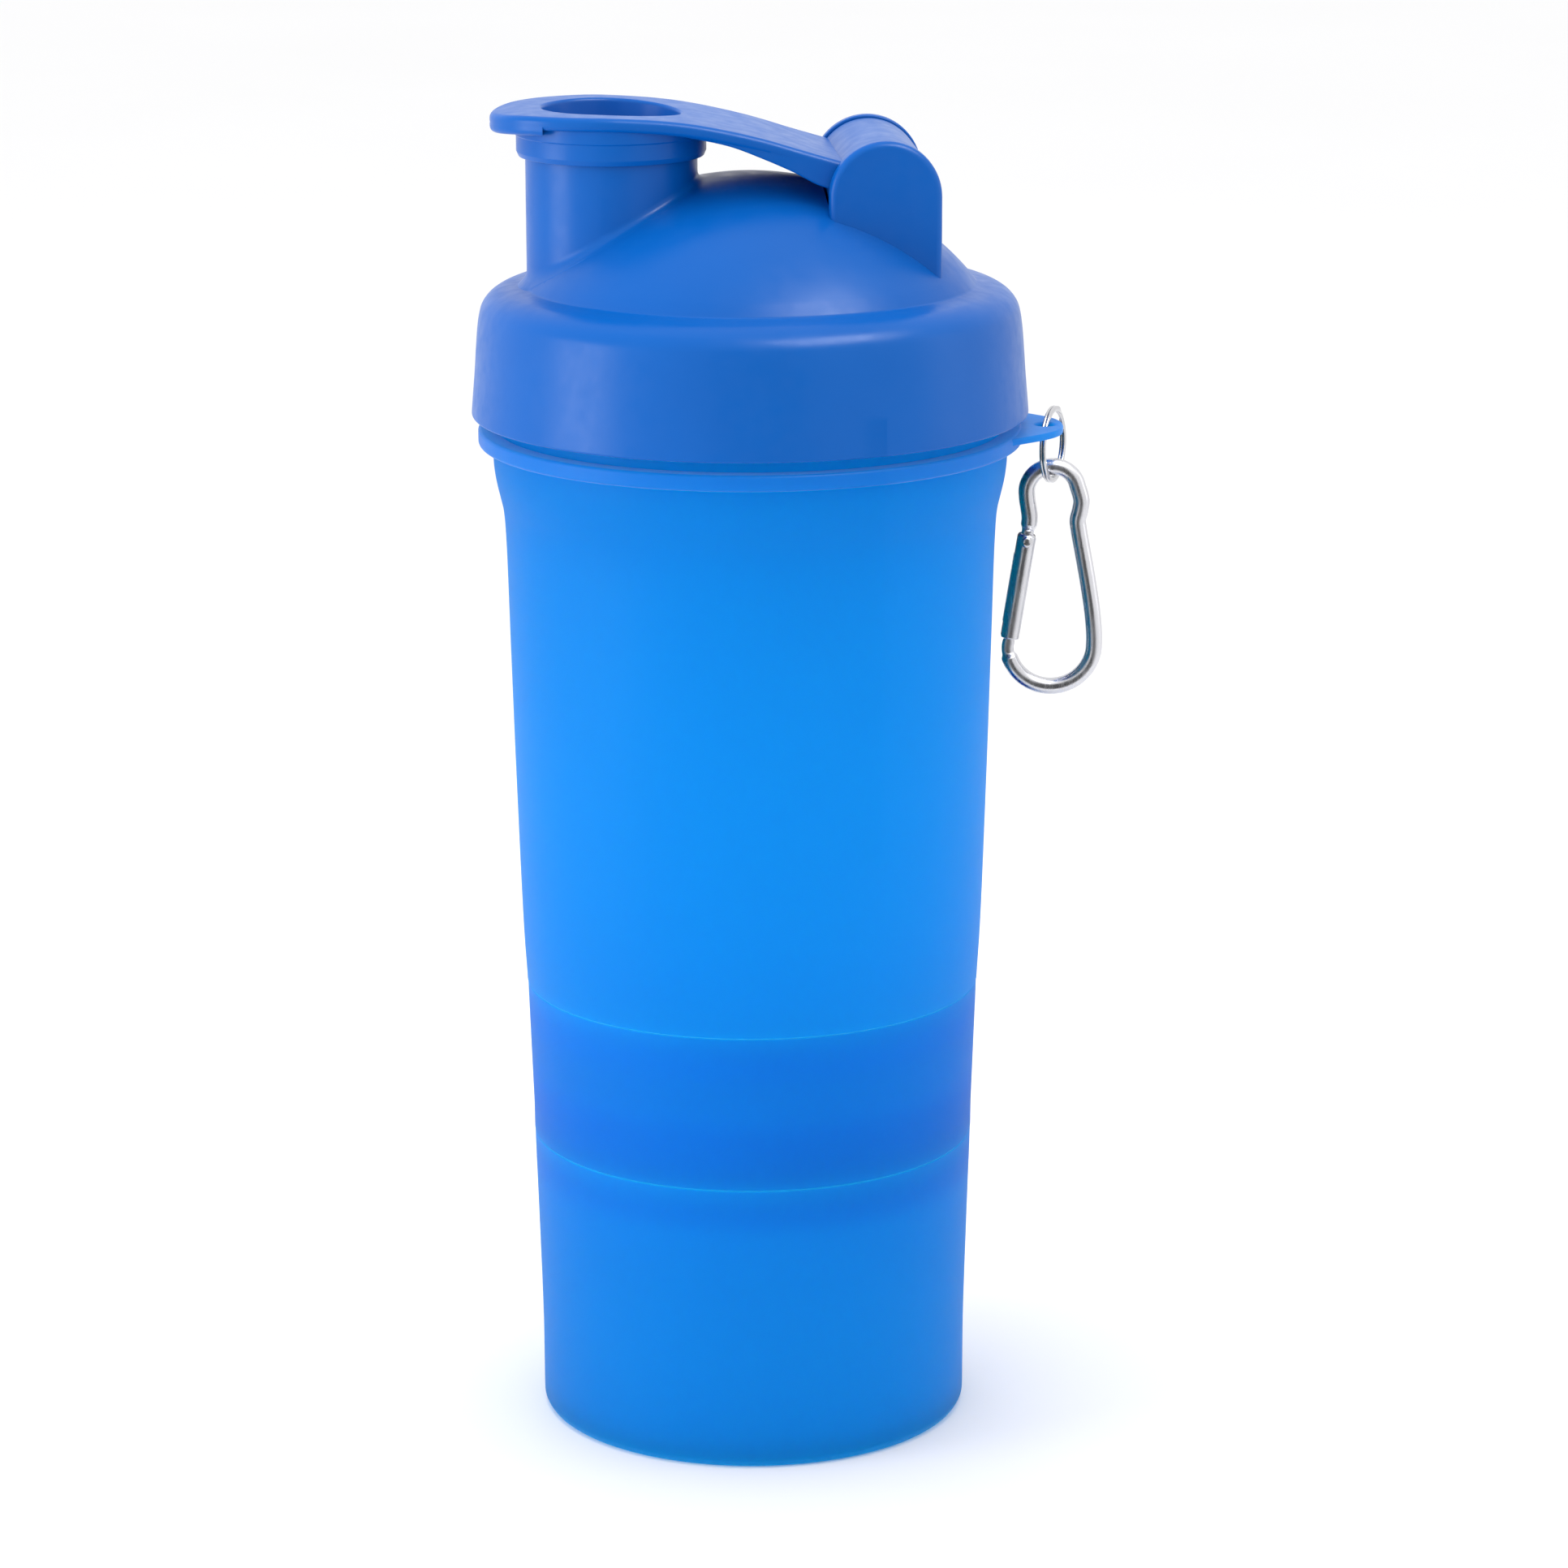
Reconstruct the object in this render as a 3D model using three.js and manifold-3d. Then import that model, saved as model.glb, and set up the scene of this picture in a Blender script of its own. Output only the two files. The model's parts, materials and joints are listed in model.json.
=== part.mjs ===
// A protein shaker bottle: a cup with a screw lid, a flip cap over the spout, a carry ring with a
// small carabiner, and two storage compartments that screw on underneath the cup.
// Millimetres, +Z up. The origin is on the bottle's axis, on the surface that it stands on.
// The spout is toward -X and the flip cap's hinge toward +X, with its pins along Y.

import * as THREE from 'three';
import { mergeVertices } from 'three/addons/utils/BufferGeometryUtils.js';
import Module from 'manifold-3d';

const wasm = await Module();
wasm.setup();

// ---- driving dimensions ----

const GAP = 0.3;
const AROUND = 36;
const AROUND_SMALL = 28;
const AROUND_PIN = 12;
const CURVE_STEPS = 12;
const THREAD_STEPS = 32;

// Heights of the stacked pieces.
const LOWER_SEAM = 52.2;
const UPPER_SEAM = 80.3;
const COLLAR_TOP = 178.05;
const RIM_TOP = 201.5;
const SKIRT_BOTTOM = 183.5;
const DOME_FOOT = 206.6;
const DOME_TOP = 225.5;

// The spigot under each upper piece, which screws into the piece below.
const SPIGOT_DEPTH = 8;
const SPIGOT_LEAD = 4;
const SPIGOT_TURNS = 0.5;
const SPIGOT_RIDGE = 0.95;
const SPIGOT_RIDGE_WIDTH = 1.4;
const SEAL_GROOVE = 0.9;
const SEAL_GROOVE_HEIGHT = 2.4;
const BELOW_SEAM = 0.2;
const ABOVE_SEAM = GAP - BELOW_SEAM;
const LOWER_WALL = 37.75;
const LOWER_SPIGOT = 36.3;
const UPPER_WALL = 38.55;
const UPPER_SPIGOT = 37;
const TRAY_LEDGE = 54;

// The cup's neck and the lid.
const LID_LEAD = 6;
const LID_TURNS = 1.1;
const LID_RIDGE_WIDTH = 1.8;
const NECK_RADIUS = 44.3;
const MOUTH_RADIUS = 42.4;
const SKIRT_RADIUS = 48.95;
const SKIRT_INSIDE = 46.5;
const PLUG_OUTSIDE = 41.9;
const PLUG_INSIDE = 40.4;
const DOME_FOOT_RADIUS = 39.6;
const DOME_WALL = 1.9;
const GASKET_SPACE = 1.5;
const STRAINER_LOW = 197;
const STRAINER_PLATE = 1.3;

// The spout, the flip cap and its hinge.
const SPOUT_X = -24;
const SPOUT_RADIUS = 14.95;
const SPOUT_BORE = 13.15;
const SPOUT_TOP = 232.6;
const HINGE_X = 22.1;
const HINGE_Z = 223.5;
const EAR_RADIUS = 9.7;
const EAR_FACE = 19.75;
const EAR_INSIDE = 16.85;
const BARREL_RADIUS = 9.25;
const BARREL_HALF = 16.4;
const PIN_RADIUS = 2.4;
const PIN_REACH = 18.35;
const SHELL = 1.8;
const CAP_THICKNESS = 2.4;
const CAP_HALF_WIDTH = 17.6;
const CAP_NOSE = 21;
const CAP_LIP_END = -36.3;
const CAP_LIP_DEPTH = 1;

// The carry ring, the key ring and the carabiner. The carry ring stands turned a little about Z.
const RING_TURN = THREE.MathUtils.degToRad(-4.3);
const RING_INSIDE = 44.65;
const RING_OUTSIDE = 47.85;
const RING_BOTTOM = 178.35;
const RING_TOP = 181.2;
const TAB_THICKNESS = 1.25;
const TAB_HOLE_X = 51.9;
const TAB_HOLE_RADIUS = 1.7;
const KEY_RING_RADIUS = 6.35;
const KEY_WIRE = 0.55;
const KEY_RING_Z = 176.5;
const KEY_RING_TURN = THREE.MathUtils.degToRad(70.7);
const KEY_RING_OFFSET = 5.1;
const CLIP_WIRE = 1.5;
const CLIP_LENGTH = 40;
const BOW_RADIUS = 7.75;
const EYE_RADIUS = 4.6;
const TONGUE_THICKNESS = 1.1;
const GATE_RADIUS = 1.85;
const GATE_SLOT = 1.7;
const GATE_LENGTH = 18.05;
const RIVET_HOLE = 0.85;

// ---- materials ----

const paint = (color, roughness, metalness = 0, opacity = 1) =>
  new THREE.MeshStandardMaterial({ color, roughness, metalness, opacity, transparent: opacity < 1 });

const lidBlue = paint(0x0b6ad2, 0.35);
const frostedBlue = paint(0x1489f2, 0.45, 0, 0.8);
const trayBlue = paint(0x0f6fd8, 0.45, 0, 0.8);
const silicone = paint(0xdfe7ee, 0.6);
const aluminium = paint(0xb9bac0, 0.25, 1);
const steel = paint(0xa9aaae, 0.3, 1);

// ---- solids ----

function signedVolume(position, index) {
  const a = new THREE.Vector3();
  const b = new THREE.Vector3();
  const c = new THREE.Vector3();
  let six = 0;
  for (let i = 0; i < index.length; i += 3) {
    a.fromBufferAttribute(position, index[i]);
    b.fromBufferAttribute(position, index[i + 1]);
    c.fromBufferAttribute(position, index[i + 2]);
    six += a.dot(b.cross(c));
  }
  return six / 6;
}

// A closed three.js geometry as a solid, with its faces turned outwards.
function solid(geometry) {
  const bare = geometry.index ? geometry.toNonIndexed() : geometry.clone();
  bare.deleteAttribute('normal');
  bare.deleteAttribute('uv');
  const merged = mergeVertices(bare, 1e-4);
  const index = merged.index.array;
  const inward = signedVolume(merged.attributes.position, index) < 0;
  const triangles = [];
  for (let i = 0; i < index.length; i += 3) {
    const [a, b, c] = [index[i], index[i + 1], index[i + 2]];
    if (a !== b && b !== c && c !== a) {
      triangles.push(a, inward ? c : b, inward ? b : c);
    }
  }
  return new wasm.Manifold(new wasm.Mesh({
    numProp: 3,
    vertProperties: new Float32Array(merged.attributes.position.array),
    triVerts: new Uint32Array(triangles),
  }));
}

function join(first, ...others) {
  return others.reduce((whole, other) => whole.add(other), first);
}

function cut(first, ...others) {
  return others.reduce((whole, other) => whole.subtract(other), first);
}

function named(name, body, material) {
  const { vertProperties, triVerts } = body.getMesh();
  const geometry = new THREE.BufferGeometry();
  geometry.setAttribute('position', new THREE.BufferAttribute(vertProperties, 3));
  geometry.setIndex(new THREE.BufferAttribute(triVerts, 1));
  geometry.computeVertexNormals();
  const mesh = new THREE.Mesh(geometry, material);
  mesh.name = name;
  return mesh;
}

// A profile of [radius, height] points turned about Z.
function turned(profile, around = AROUND) {
  const points = profile.map(([radius, height]) => new THREE.Vector2(radius, height));
  return solid(new THREE.LatheGeometry(points, around).rotateX(Math.PI / 2));
}

// A ring whose section is a closed profile of [radius, height] points.
function turnedRing(profile, around = AROUND) {
  return turned([...profile, profile[0]], around);
}

function box(x0, x1, y0, y1, z0, z1) {
  const geometry = new THREE.BoxGeometry(x1 - x0, y1 - y0, z1 - z0);
  return solid(geometry.translate((x0 + x1) / 2, (y0 + y1) / 2, (z0 + z1) / 2));
}

// A round bar along Z.
function upright(radius, x, z0, z1, around = AROUND_SMALL) {
  return turned([[0, z0], [radius, z0], [radius, z1], [0, z1]], around).translate([x, 0, 0]);
}

// A round bar along Y, centred on Y = 0.
function crossbar(radius, x, z, halfLength, around = AROUND_SMALL) {
  const geometry = new THREE.CylinderGeometry(radius, radius, 2 * halfLength, around);
  return solid(geometry.translate(x, 0, z));
}

function extruded(shape, depth) {
  return new THREE.ExtrudeGeometry(shape, { depth, bevelEnabled: false, curveSegments: CURVE_STEPS });
}

// A side view drawn in X and Z, given a thickness between two values of Y.
function sideways(shape, y0, y1) {
  const geometry = extruded(shape, Math.abs(y1 - y0));
  return solid(geometry.rotateX(Math.PI / 2).translate(0, Math.max(y0, y1), 0));
}

// A plan drawn in X and Y, given a height from z0 to z1.
function standing(shape, z0, z1) {
  return solid(extruded(shape, z1 - z0).translate(0, 0, z0));
}

function outline(points) {
  return new THREE.Shape(points.map(([x, y]) => new THREE.Vector2(x, y)));
}

// One start of a screw thread: a ridge on a wall, lower at its two ends and narrower at its crest.
function threadRidge({ wall, crest, lead, turns, z, width }) {
  const embed = 0.4 * Math.sign(wall - crest);
  const endHeight = 0.25;
  const endSlope = 12;
  const crestWidth = 0.55;
  const steps = Math.round(turns * THREAD_STEPS);
  const geometry = new THREE.BoxGeometry(1, 1, 1, steps, 1, 1);
  const position = geometry.attributes.position;
  for (let i = 0; i < position.count; i += 1) {
    const along = position.getX(i) + 0.5;
    const angle = 2 * Math.PI * turns * along;
    const rise = Math.min(1, endHeight + endSlope * Math.min(along, 1 - along));
    const atCrest = position.getY(i) > 0;
    const radius = atCrest ? wall + (crest - wall) * rise : wall + embed;
    const breadth = width * (atCrest ? crestWidth : 1);
    const height = z + lead * turns * along + position.getZ(i) * breadth;
    position.setXYZ(i, radius * Math.cos(angle), radius * Math.sin(angle), height);
  }
  return solid(geometry);
}

// ---- the compartments and the cup ----

// The lower end of a piece: a spigot with a groove for its seal and a male thread.
// It gives the outer profile from the axis up to the face at the seam.
function spigotProfile(seam, radius) {
  const bottom = seam - SPIGOT_DEPTH;
  return [
    [0, bottom], [radius - 0.7, bottom], [radius, bottom + 0.7],
    [radius, seam - SEAL_GROOVE_HEIGHT], [radius - SEAL_GROOVE, seam - SEAL_GROOVE_HEIGHT],
    [radius - SEAL_GROOVE, seam + ABOVE_SEAM],
  ];
}

function spigotThread(wall, crest, z) {
  return threadRidge({
    wall, crest, lead: SPIGOT_LEAD, turns: SPIGOT_TURNS, z, width: SPIGOT_RIDGE_WIDTH,
  });
}

function maleThread(seam, radius) {
  return spigotThread(radius, radius + SPIGOT_RIDGE, seam - 7.2);
}

function femaleThread(seam, wall) {
  return spigotThread(wall, wall - SPIGOT_RIDGE, seam - 5.3);
}

// A flat ring with a rectangular section.
function flatRing(inside, outside, low, high) {
  return turnedRing([[inside, low], [outside, low], [outside, high], [inside, high]]);
}

// The seal in the spigot's groove, a gap clear of the faces around it.
function compartmentSeal(name, seam, spigotRadius, wall) {
  const inside = spigotRadius - SEAL_GROOVE + GAP;
  const low = seam - SEAL_GROOVE_HEIGHT + GAP;
  return named(name, flatRing(inside, wall - GAP, low, seam + ABOVE_SEAM - GAP), silicone);
}

function bottomCompartment() {
  const top = LOWER_SEAM - BELOW_SEAM;
  const outside = [
    [0, 0], [37.2, 0], [38, 0.35], [38.4, 1.3], [38.5, 15], [39, 34], [39.5, 50], [39.55, top],
  ];
  const inside = [[LOWER_WALL, top], [LOWER_WALL, 44], [36.7, 5], [35.7, 2.7], [34, 2], [0, 2]];
  const shell = turned([...outside, ...inside]);
  return named('bottom_compartment', join(shell, femaleThread(LOWER_SEAM, LOWER_WALL)), frostedBlue);
}

function middleCompartment() {
  const outside = [
    [39.2, LOWER_SEAM + ABOVE_SEAM], [39.6, LOWER_SEAM + 0.5], [39.65, 57], [40.4, 78],
    [40.45, UPPER_SEAM - BELOW_SEAM],
  ];
  const inside = [
    [UPPER_WALL, UPPER_SEAM - BELOW_SEAM], [UPPER_WALL, 72], [38, 57], [37.4, 54.7],
    [36.2, TRAY_LEDGE], [34.4, TRAY_LEDGE], [33.7, TRAY_LEDGE - 0.7],
    [33.7, 48], [33.2, 46.6], [31.8, 46.1], [0, 46],
  ];
  const shell = turned([...spigotProfile(LOWER_SEAM, LOWER_SPIGOT), ...outside, ...inside]);
  const body = join(shell, maleThread(LOWER_SEAM, LOWER_SPIGOT), femaleThread(UPPER_SEAM, UPPER_WALL));
  return named('middle_compartment', body, frostedBlue);
}

// An open tray with crossed dividers, which rests on the ledge inside the middle compartment.
function pillTray() {
  const radius = 36.9;
  const wall = 1.2;
  const bottom = TRAY_LEDGE + GAP;
  const top = bottom + 10;
  const dish = turned([
    [0, bottom], [radius - 1.4, bottom], [radius, bottom + 2.2], [radius, top],
    [radius - wall, top], [radius - wall, bottom + 2.6], [radius - 2.6, bottom + wall], [0, bottom + wall],
  ]);
  const reach = radius - wall / 2;
  const divider = box(-reach, reach, -wall / 2, wall / 2, bottom + wall / 2, top - wall / 2);
  return named('pill_tray', join(dish, divider, divider.rotate([0, 0, 90])), trayBlue);
}

function lidThread(wall, crest, z) {
  return threadRidge({ wall, crest, lead: LID_LEAD, turns: LID_TURNS, z, width: LID_RIDGE_WIDTH });
}

function cup() {
  const outside = [
    [40.1, UPPER_SEAM + ABOVE_SEAM], [40.55, UPPER_SEAM + 0.6], [41.1, 90], [42.1, 120], [43.3, 164],
    [43.6, 166.5], [44.7, 171.5], [45.2, 174.5], [45.3, COLLAR_TOP - 0.3], [45, COLLAR_TOP],
    [NECK_RADIUS, COLLAR_TOP],
    [NECK_RADIUS, RIM_TOP - 0.7], [NECK_RADIUS - 0.5, RIM_TOP],
  ];
  const inside = [
    [MOUTH_RADIUS + 0.4, RIM_TOP], [MOUTH_RADIUS, RIM_TOP - 0.6], [MOUTH_RADIUS, 172],
    [41.4, 164], [40.2, 120], [39.1, 88], [38.2, 84.4], [36.4, 82.4], [34.9, 81.4], [34.4, 79.8],
    [34.4, 76.4], [33.8, 74.9], [32.2, 74.3], [0, 74.2],
  ];
  const shell = turned([...spigotProfile(UPPER_SEAM, UPPER_SPIGOT), ...outside, ...inside]);
  const neckThread = lidThread(NECK_RADIUS, NECK_RADIUS + 1.3, 190);
  return named('cup', join(shell, maleThread(UPPER_SEAM, UPPER_SPIGOT), neckThread), frostedBlue);
}

// ---- the lid ----

// The dome is part of a sphere, so that its foot and its top both lie on it.
const DOME_RISE = DOME_TOP - DOME_FOOT;
const DOME_RADIUS = (DOME_FOOT_RADIUS ** 2 + DOME_RISE ** 2) / (2 * DOME_RISE);
const DOME_CENTRE = DOME_TOP - DOME_RADIUS;

// Points on the dome from its foot to the axis, at the given depth under its surface.
function domeArc(footRadius, depth, steps) {
  const radius = DOME_RADIUS - depth;
  const first = Math.asin(footRadius / radius);
  const points = [];
  for (let i = 0; i < steps; i += 1) {
    const angle = first * (1 - i / steps);
    points.push([radius * Math.sin(angle), DOME_CENTRE + radius * Math.cos(angle)]);
  }
  return [...points, [0, DOME_CENTRE + radius]];
}

function lidOutside() {
  return turned([
    [0, SKIRT_BOTTOM], [SKIRT_RADIUS - 0.3, SKIRT_BOTTOM], [SKIRT_RADIUS, SKIRT_BOTTOM + 0.4],
    [48.35, 190.6], [47.75, 199.5], [47.2, 202.2], [46.1, 204], [44.2, 205.3], [42, 206], [40.6, 206.2],
    ...domeArc(DOME_FOOT_RADIUS, 0, 8),
  ]);
}

// The hollow of the lid, with the plug ring left standing that goes into the cup's mouth.
function lidHollow() {
  const below = SKIRT_BOTTOM - 1;
  const gasketFace = RIM_TOP + GASKET_SPACE;
  const plugBottom = 196.3;
  return turned([
    [0, below], [SKIRT_INSIDE, below], [46.1, 200], [45.9, 201.7], [45.2, gasketFace],
    [PLUG_OUTSIDE, gasketFace], [PLUG_OUTSIDE, plugBottom + 0.5], [PLUG_OUTSIDE - 0.5, plugBottom],
    [PLUG_INSIDE, plugBottom], [PLUG_INSIDE, 204.4], [38.4, 204.5],
    ...domeArc(37.6, DOME_WALL, 7),
  ]);
}

function ear(side) {
  const foot = DOME_FOOT - 2;
  const shape = new THREE.Shape();
  shape.moveTo(HINGE_X + EAR_RADIUS, foot);
  shape.lineTo(HINGE_X + EAR_RADIUS, HINGE_Z);
  shape.absarc(HINGE_X, HINGE_Z, EAR_RADIUS, 0, Math.PI, false);
  shape.lineTo(HINGE_X - EAR_RADIUS, foot);
  return sideways(shape, side * EAR_INSIDE, side * EAR_FACE);
}

function lid() {
  const spout = upright(SPOUT_RADIUS, SPOUT_X, SKIRT_BOTTOM + 10, SPOUT_TOP);
  const outside = join(lidOutside(), spout, ear(-1), ear(1));
  const underHinge = crossbar(EAR_RADIUS + SHELL, HINGE_X, HINGE_Z, EAR_FACE - 0.6);
  const hollow = cut(lidHollow(), underHinge);
  const recess = crossbar(EAR_RADIUS, HINGE_X, HINGE_Z, EAR_INSIDE);
  const sockets = crossbar(PIN_RADIUS + GAP, HINGE_X, HINGE_Z, PIN_REACH + GAP, 2 * AROUND_PIN);
  const bore = upright(SPOUT_BORE, SPOUT_X, SKIRT_BOTTOM + 9, SPOUT_TOP + 1);
  const skirtThread = lidThread(SKIRT_INSIDE - 0.2, NECK_RADIUS + 0.6, 187);
  return named('lid', join(cut(outside, hollow, recess, sockets, bore), skirtThread), lidBlue);
}

function lidGasket() {
  const ring = flatRing(PLUG_OUTSIDE + GAP, 44.8, RIM_TOP + GAP, RIM_TOP + GASKET_SPACE - GAP);
  return named('lid_gasket', ring, silicone);
}

// A grid that snaps into the lid's plug ring and holds back lumps of powder.
function strainer() {
  const low = STRAINER_LOW;
  const face = low + STRAINER_PLATE;
  const high = low + 6.4;
  const rim = PLUG_INSIDE - GAP;
  const rimInside = rim - STRAINER_PLATE;
  const plate = turned([
    [0, low], [rim - 0.6, low], [rim, low + 0.6], [rim, high], [rimInside, high],
    [rimInside, face + 0.3], [rimInside - 1.3, face], [0, face],
  ]);
  const halfSlot = 3.2;
  const bar = 3.2;
  const slots = [];
  for (const [radius, count] of [[11, 6], [20.5, 10], [30, 14]]) {
    const half = Math.PI * radius / count - bar / 2;
    for (let i = 0; i < count; i += 1) {
      const slot = box(radius - halfSlot, radius + halfSlot, -half, half, low - 1, face + 1);
      slots.push(slot.rotate([0, 0, 360 * i / count]));
    }
  }
  return named('strainer', cut(plate, ...slots), lidBlue);
}

// ---- the flip cap ----

// The cap's plate seen from the side: it is level over the spout and runs down to the hinge.
function capPlate() {
  const top = new THREE.SplineCurve([
    [SPOUT_X - CAP_NOSE, 236.6], [-40.5, 237.2], [-32, 237.4], [SPOUT_X, 237.3], [-12, 236.3], [0, 233.8],
    [9, 231.1], [15.5, 229.2],
  ].map(([x, z]) => new THREE.Vector2(x, z))).getPoints(22);
  const under = top.map((point) => new THREE.Vector2(point.x, point.y - CAP_THICKNESS)).reverse();
  const strip = sideways(new THREE.Shape([...top, ...under]), -CAP_HALF_WIDTH, CAP_HALF_WIDTH);
  const armStart = 8;
  const armEnd = 20;
  const plan = new THREE.Shape();
  plan.moveTo(armEnd, -BARREL_HALF);
  plan.lineTo(armEnd, BARREL_HALF);
  plan.lineTo(armStart, BARREL_HALF);
  plan.lineTo(SPOUT_X, CAP_HALF_WIDTH);
  plan.absellipse(SPOUT_X, 0, CAP_NOSE, CAP_HALF_WIDTH, Math.PI / 2, 1.5 * Math.PI, false);
  plan.lineTo(armStart, -BARREL_HALF);
  // The nose has a deeper edge to lift the cap by.
  const nose = box(-50, CAP_LIP_END, -CAP_HALF_WIDTH, CAP_HALF_WIDTH, HINGE_Z, SPOUT_TOP + 8);
  const lip = strip.translate([0, 0, -CAP_LIP_DEPTH]).intersect(nose);
  return join(strip, lip).intersect(standing(plan, HINGE_Z, SPOUT_TOP + 8));
}

// A rib under each edge of the arm, deepening toward the hinge.
function capRib(side) {
  const shape = outline([
    [-13, 235.5], [-12, 233.9], [-4.5, 232.3], [1, 230.1], [6.6, 227.6], [11, 225.3], [16, 224],
    [16, 228], [0, 232.6],
  ]);
  return sideways(shape, side * (BARREL_HALF - SHELL), side * BARREL_HALF);
}

function capBarrel() {
  const drum = crossbar(BARREL_RADIUS, HINGE_X, HINGE_Z, BARREL_HALF);
  const pins = crossbar(PIN_RADIUS, HINGE_X, HINGE_Z, PIN_REACH, 2 * AROUND_PIN);
  return join(drum, pins);
}

// The barrel is a shell, open underneath between its two end discs.
function barrelHollow() {
  const half = BARREL_HALF - SHELL;
  const bore = crossbar(BARREL_RADIUS - SHELL, HINGE_X, HINGE_Z, half);
  const opening = box(HINGE_X - 7.5, HINGE_X + 7.5, -half, half, HINGE_Z - BARREL_RADIUS - 1, HINGE_Z - 3);
  return join(bore, opening);
}

function flipCap() {
  const inPlate = 235.2;
  const collar = turnedRing([
    [15.45, 229.8], [15.85, 229], [16.05, 229], [16.45, 229.8], [16.45, inPlate], [15.45, inPlate],
  ]);
  const plug = upright(SPOUT_BORE - 0.45, SPOUT_X, 229.2, inPlate);
  const dimple = turned([[0, 230.7], [10.4, 230.7], [11.1, 231.3], [12.2, 239], [0, 239]]);
  const body = join(
    capPlate(), capRib(-1), capRib(1), capBarrel(), collar.translate([SPOUT_X, 0, 0]), plug,
  );
  return named('flip_cap', cut(body, barrelHollow(), dimple.translate([SPOUT_X, 0, 0])), lidBlue);
}

// ---- the carry ring, the key ring and the carabiner ----

function carryRing() {
  const band = turnedRing([
    [RING_INSIDE, RING_BOTTOM], [RING_OUTSIDE - 0.3, RING_BOTTOM], [RING_OUTSIDE, RING_BOTTOM + 0.3],
    [RING_OUTSIDE, RING_TOP - 0.3], [RING_OUTSIDE - 0.3, RING_TOP], [RING_INSIDE, RING_TOP],
  ]);
  const plan = new THREE.Shape();
  plan.moveTo(44, -16);
  plan.quadraticCurveTo(47.3, -12.6, 50.4, -10);
  plan.bezierCurveTo(53.6, -7.2, 55.1, -3.6, 55.1, 0);
  plan.bezierCurveTo(55.1, 3.6, 53.6, 7.2, 50.4, 10);
  plan.quadraticCurveTo(47.3, 12.6, 44, 16);
  const low = RING_TOP - 0.2 - TAB_THICKNESS;
  const tab = cut(
    standing(plan, low, low + TAB_THICKNESS),
    upright(RING_INSIDE + 0.4, 0, low - 1, RING_TOP + 1, AROUND),
    upright(TAB_HOLE_RADIUS, TAB_HOLE_X, low - 1, RING_TOP + 1, 20),
  );
  return named('carry_ring', join(band, tab), frostedBlue);
}

function keyRing() {
  const wire = new THREE.TorusGeometry(KEY_RING_RADIUS, KEY_WIRE, 6, 32);
  return named('key_ring', solid(wire.rotateX(Math.PI / 2)), steel);
}

// The carabiner lies in X and Z, hanging from the middle of its eye at (0, 0).
const BOW_CENTRE = -CLIP_LENGTH + BOW_RADIUS;
const GATE_PIVOT = new THREE.Vector3(-4.55, 0, -13.3);
const NOSE = new THREE.Vector3(-BOW_RADIUS + 0.05, 0, BOW_CENTRE - 0.9);
const GATE_LEAN = Math.atan2(GATE_PIVOT.x - NOSE.x, GATE_PIVOT.z - NOSE.z);

// A point on the gate's line, at a distance below the pivot.
function alongGate(distance) {
  const down = new THREE.Vector3(-Math.sin(GATE_LEAN), 0, -Math.cos(GATE_LEAN));
  return GATE_PIVOT.clone().addScaledVector(down, distance);
}

function arcPoints(x, z, radius, from, to, steps) {
  const points = [];
  for (let i = 0; i <= steps; i += 1) {
    const angle = THREE.MathUtils.degToRad(from + (to - from) * i / steps);
    points.push(new THREE.Vector3(x + radius * Math.cos(angle), 0, z + radius * Math.sin(angle)));
  }
  return points;
}

// A flat blade between two distances along the gate's line, rounded at its tip.
function blade(root, tip, halfWidth) {
  const upward = tip < root;
  const shape = new THREE.Shape();
  shape.moveTo(-halfWidth, -root);
  shape.lineTo(-halfWidth, -tip);
  shape.absarc(0, -tip, halfWidth, Math.PI, upward ? 0 : 2 * Math.PI, upward);
  shape.lineTo(halfWidth, -root);
  const lean = THREE.MathUtils.radToDeg(GATE_LEAN);
  return sideways(shape, -TONGUE_THICKNESS / 2, TONGUE_THICKNESS / 2)
    .rotate([0, lean, 0])
    .translate(GATE_PIVOT.toArray());
}

function carabinerBody() {
  const noseDistance = NOSE.distanceTo(GATE_PIVOT);
  // The back limb has a narrow waist under the eye, opposite the gate's pivot.
  const limb = [[5.15, -6.2], [4.95, -7.9], [4.55, -9.7], [4.75, -11.5], [5.4, -15], [6.5, -21], [7.4, -27]];
  const path = new THREE.CatmullRomCurve3([
    alongGate(-2.4), new THREE.Vector3(-4, 0, -9.2), ...arcPoints(0, -EYE_RADIUS, EYE_RADIUS, 190, 10, 8),
    ...limb.map(([x, z]) => new THREE.Vector3(x, 0, z)),
    ...arcPoints(0, BOW_CENTRE, BOW_RADIUS, 4, -173, 9),
  ], false, 'centripetal');
  const section = new THREE.Shape().absarc(0, 0, CLIP_WIRE, 0, 2 * Math.PI, false);
  const wire = new THREE.ExtrudeGeometry(section, { steps: 54, curveSegments: 4, extrudePath: path });
  const tongue = blade(-3.2, 0.2, 1.15);
  const hole = crossbar(RIVET_HOLE, GATE_PIVOT.x, GATE_PIVOT.z, 3, AROUND_PIN);
  const nose = blade(noseDistance + 0.8, noseDistance - 3.6, 1);
  return named('carabiner_body', cut(join(solid(wire), tongue, nose), hole), aluminium);
}

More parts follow.
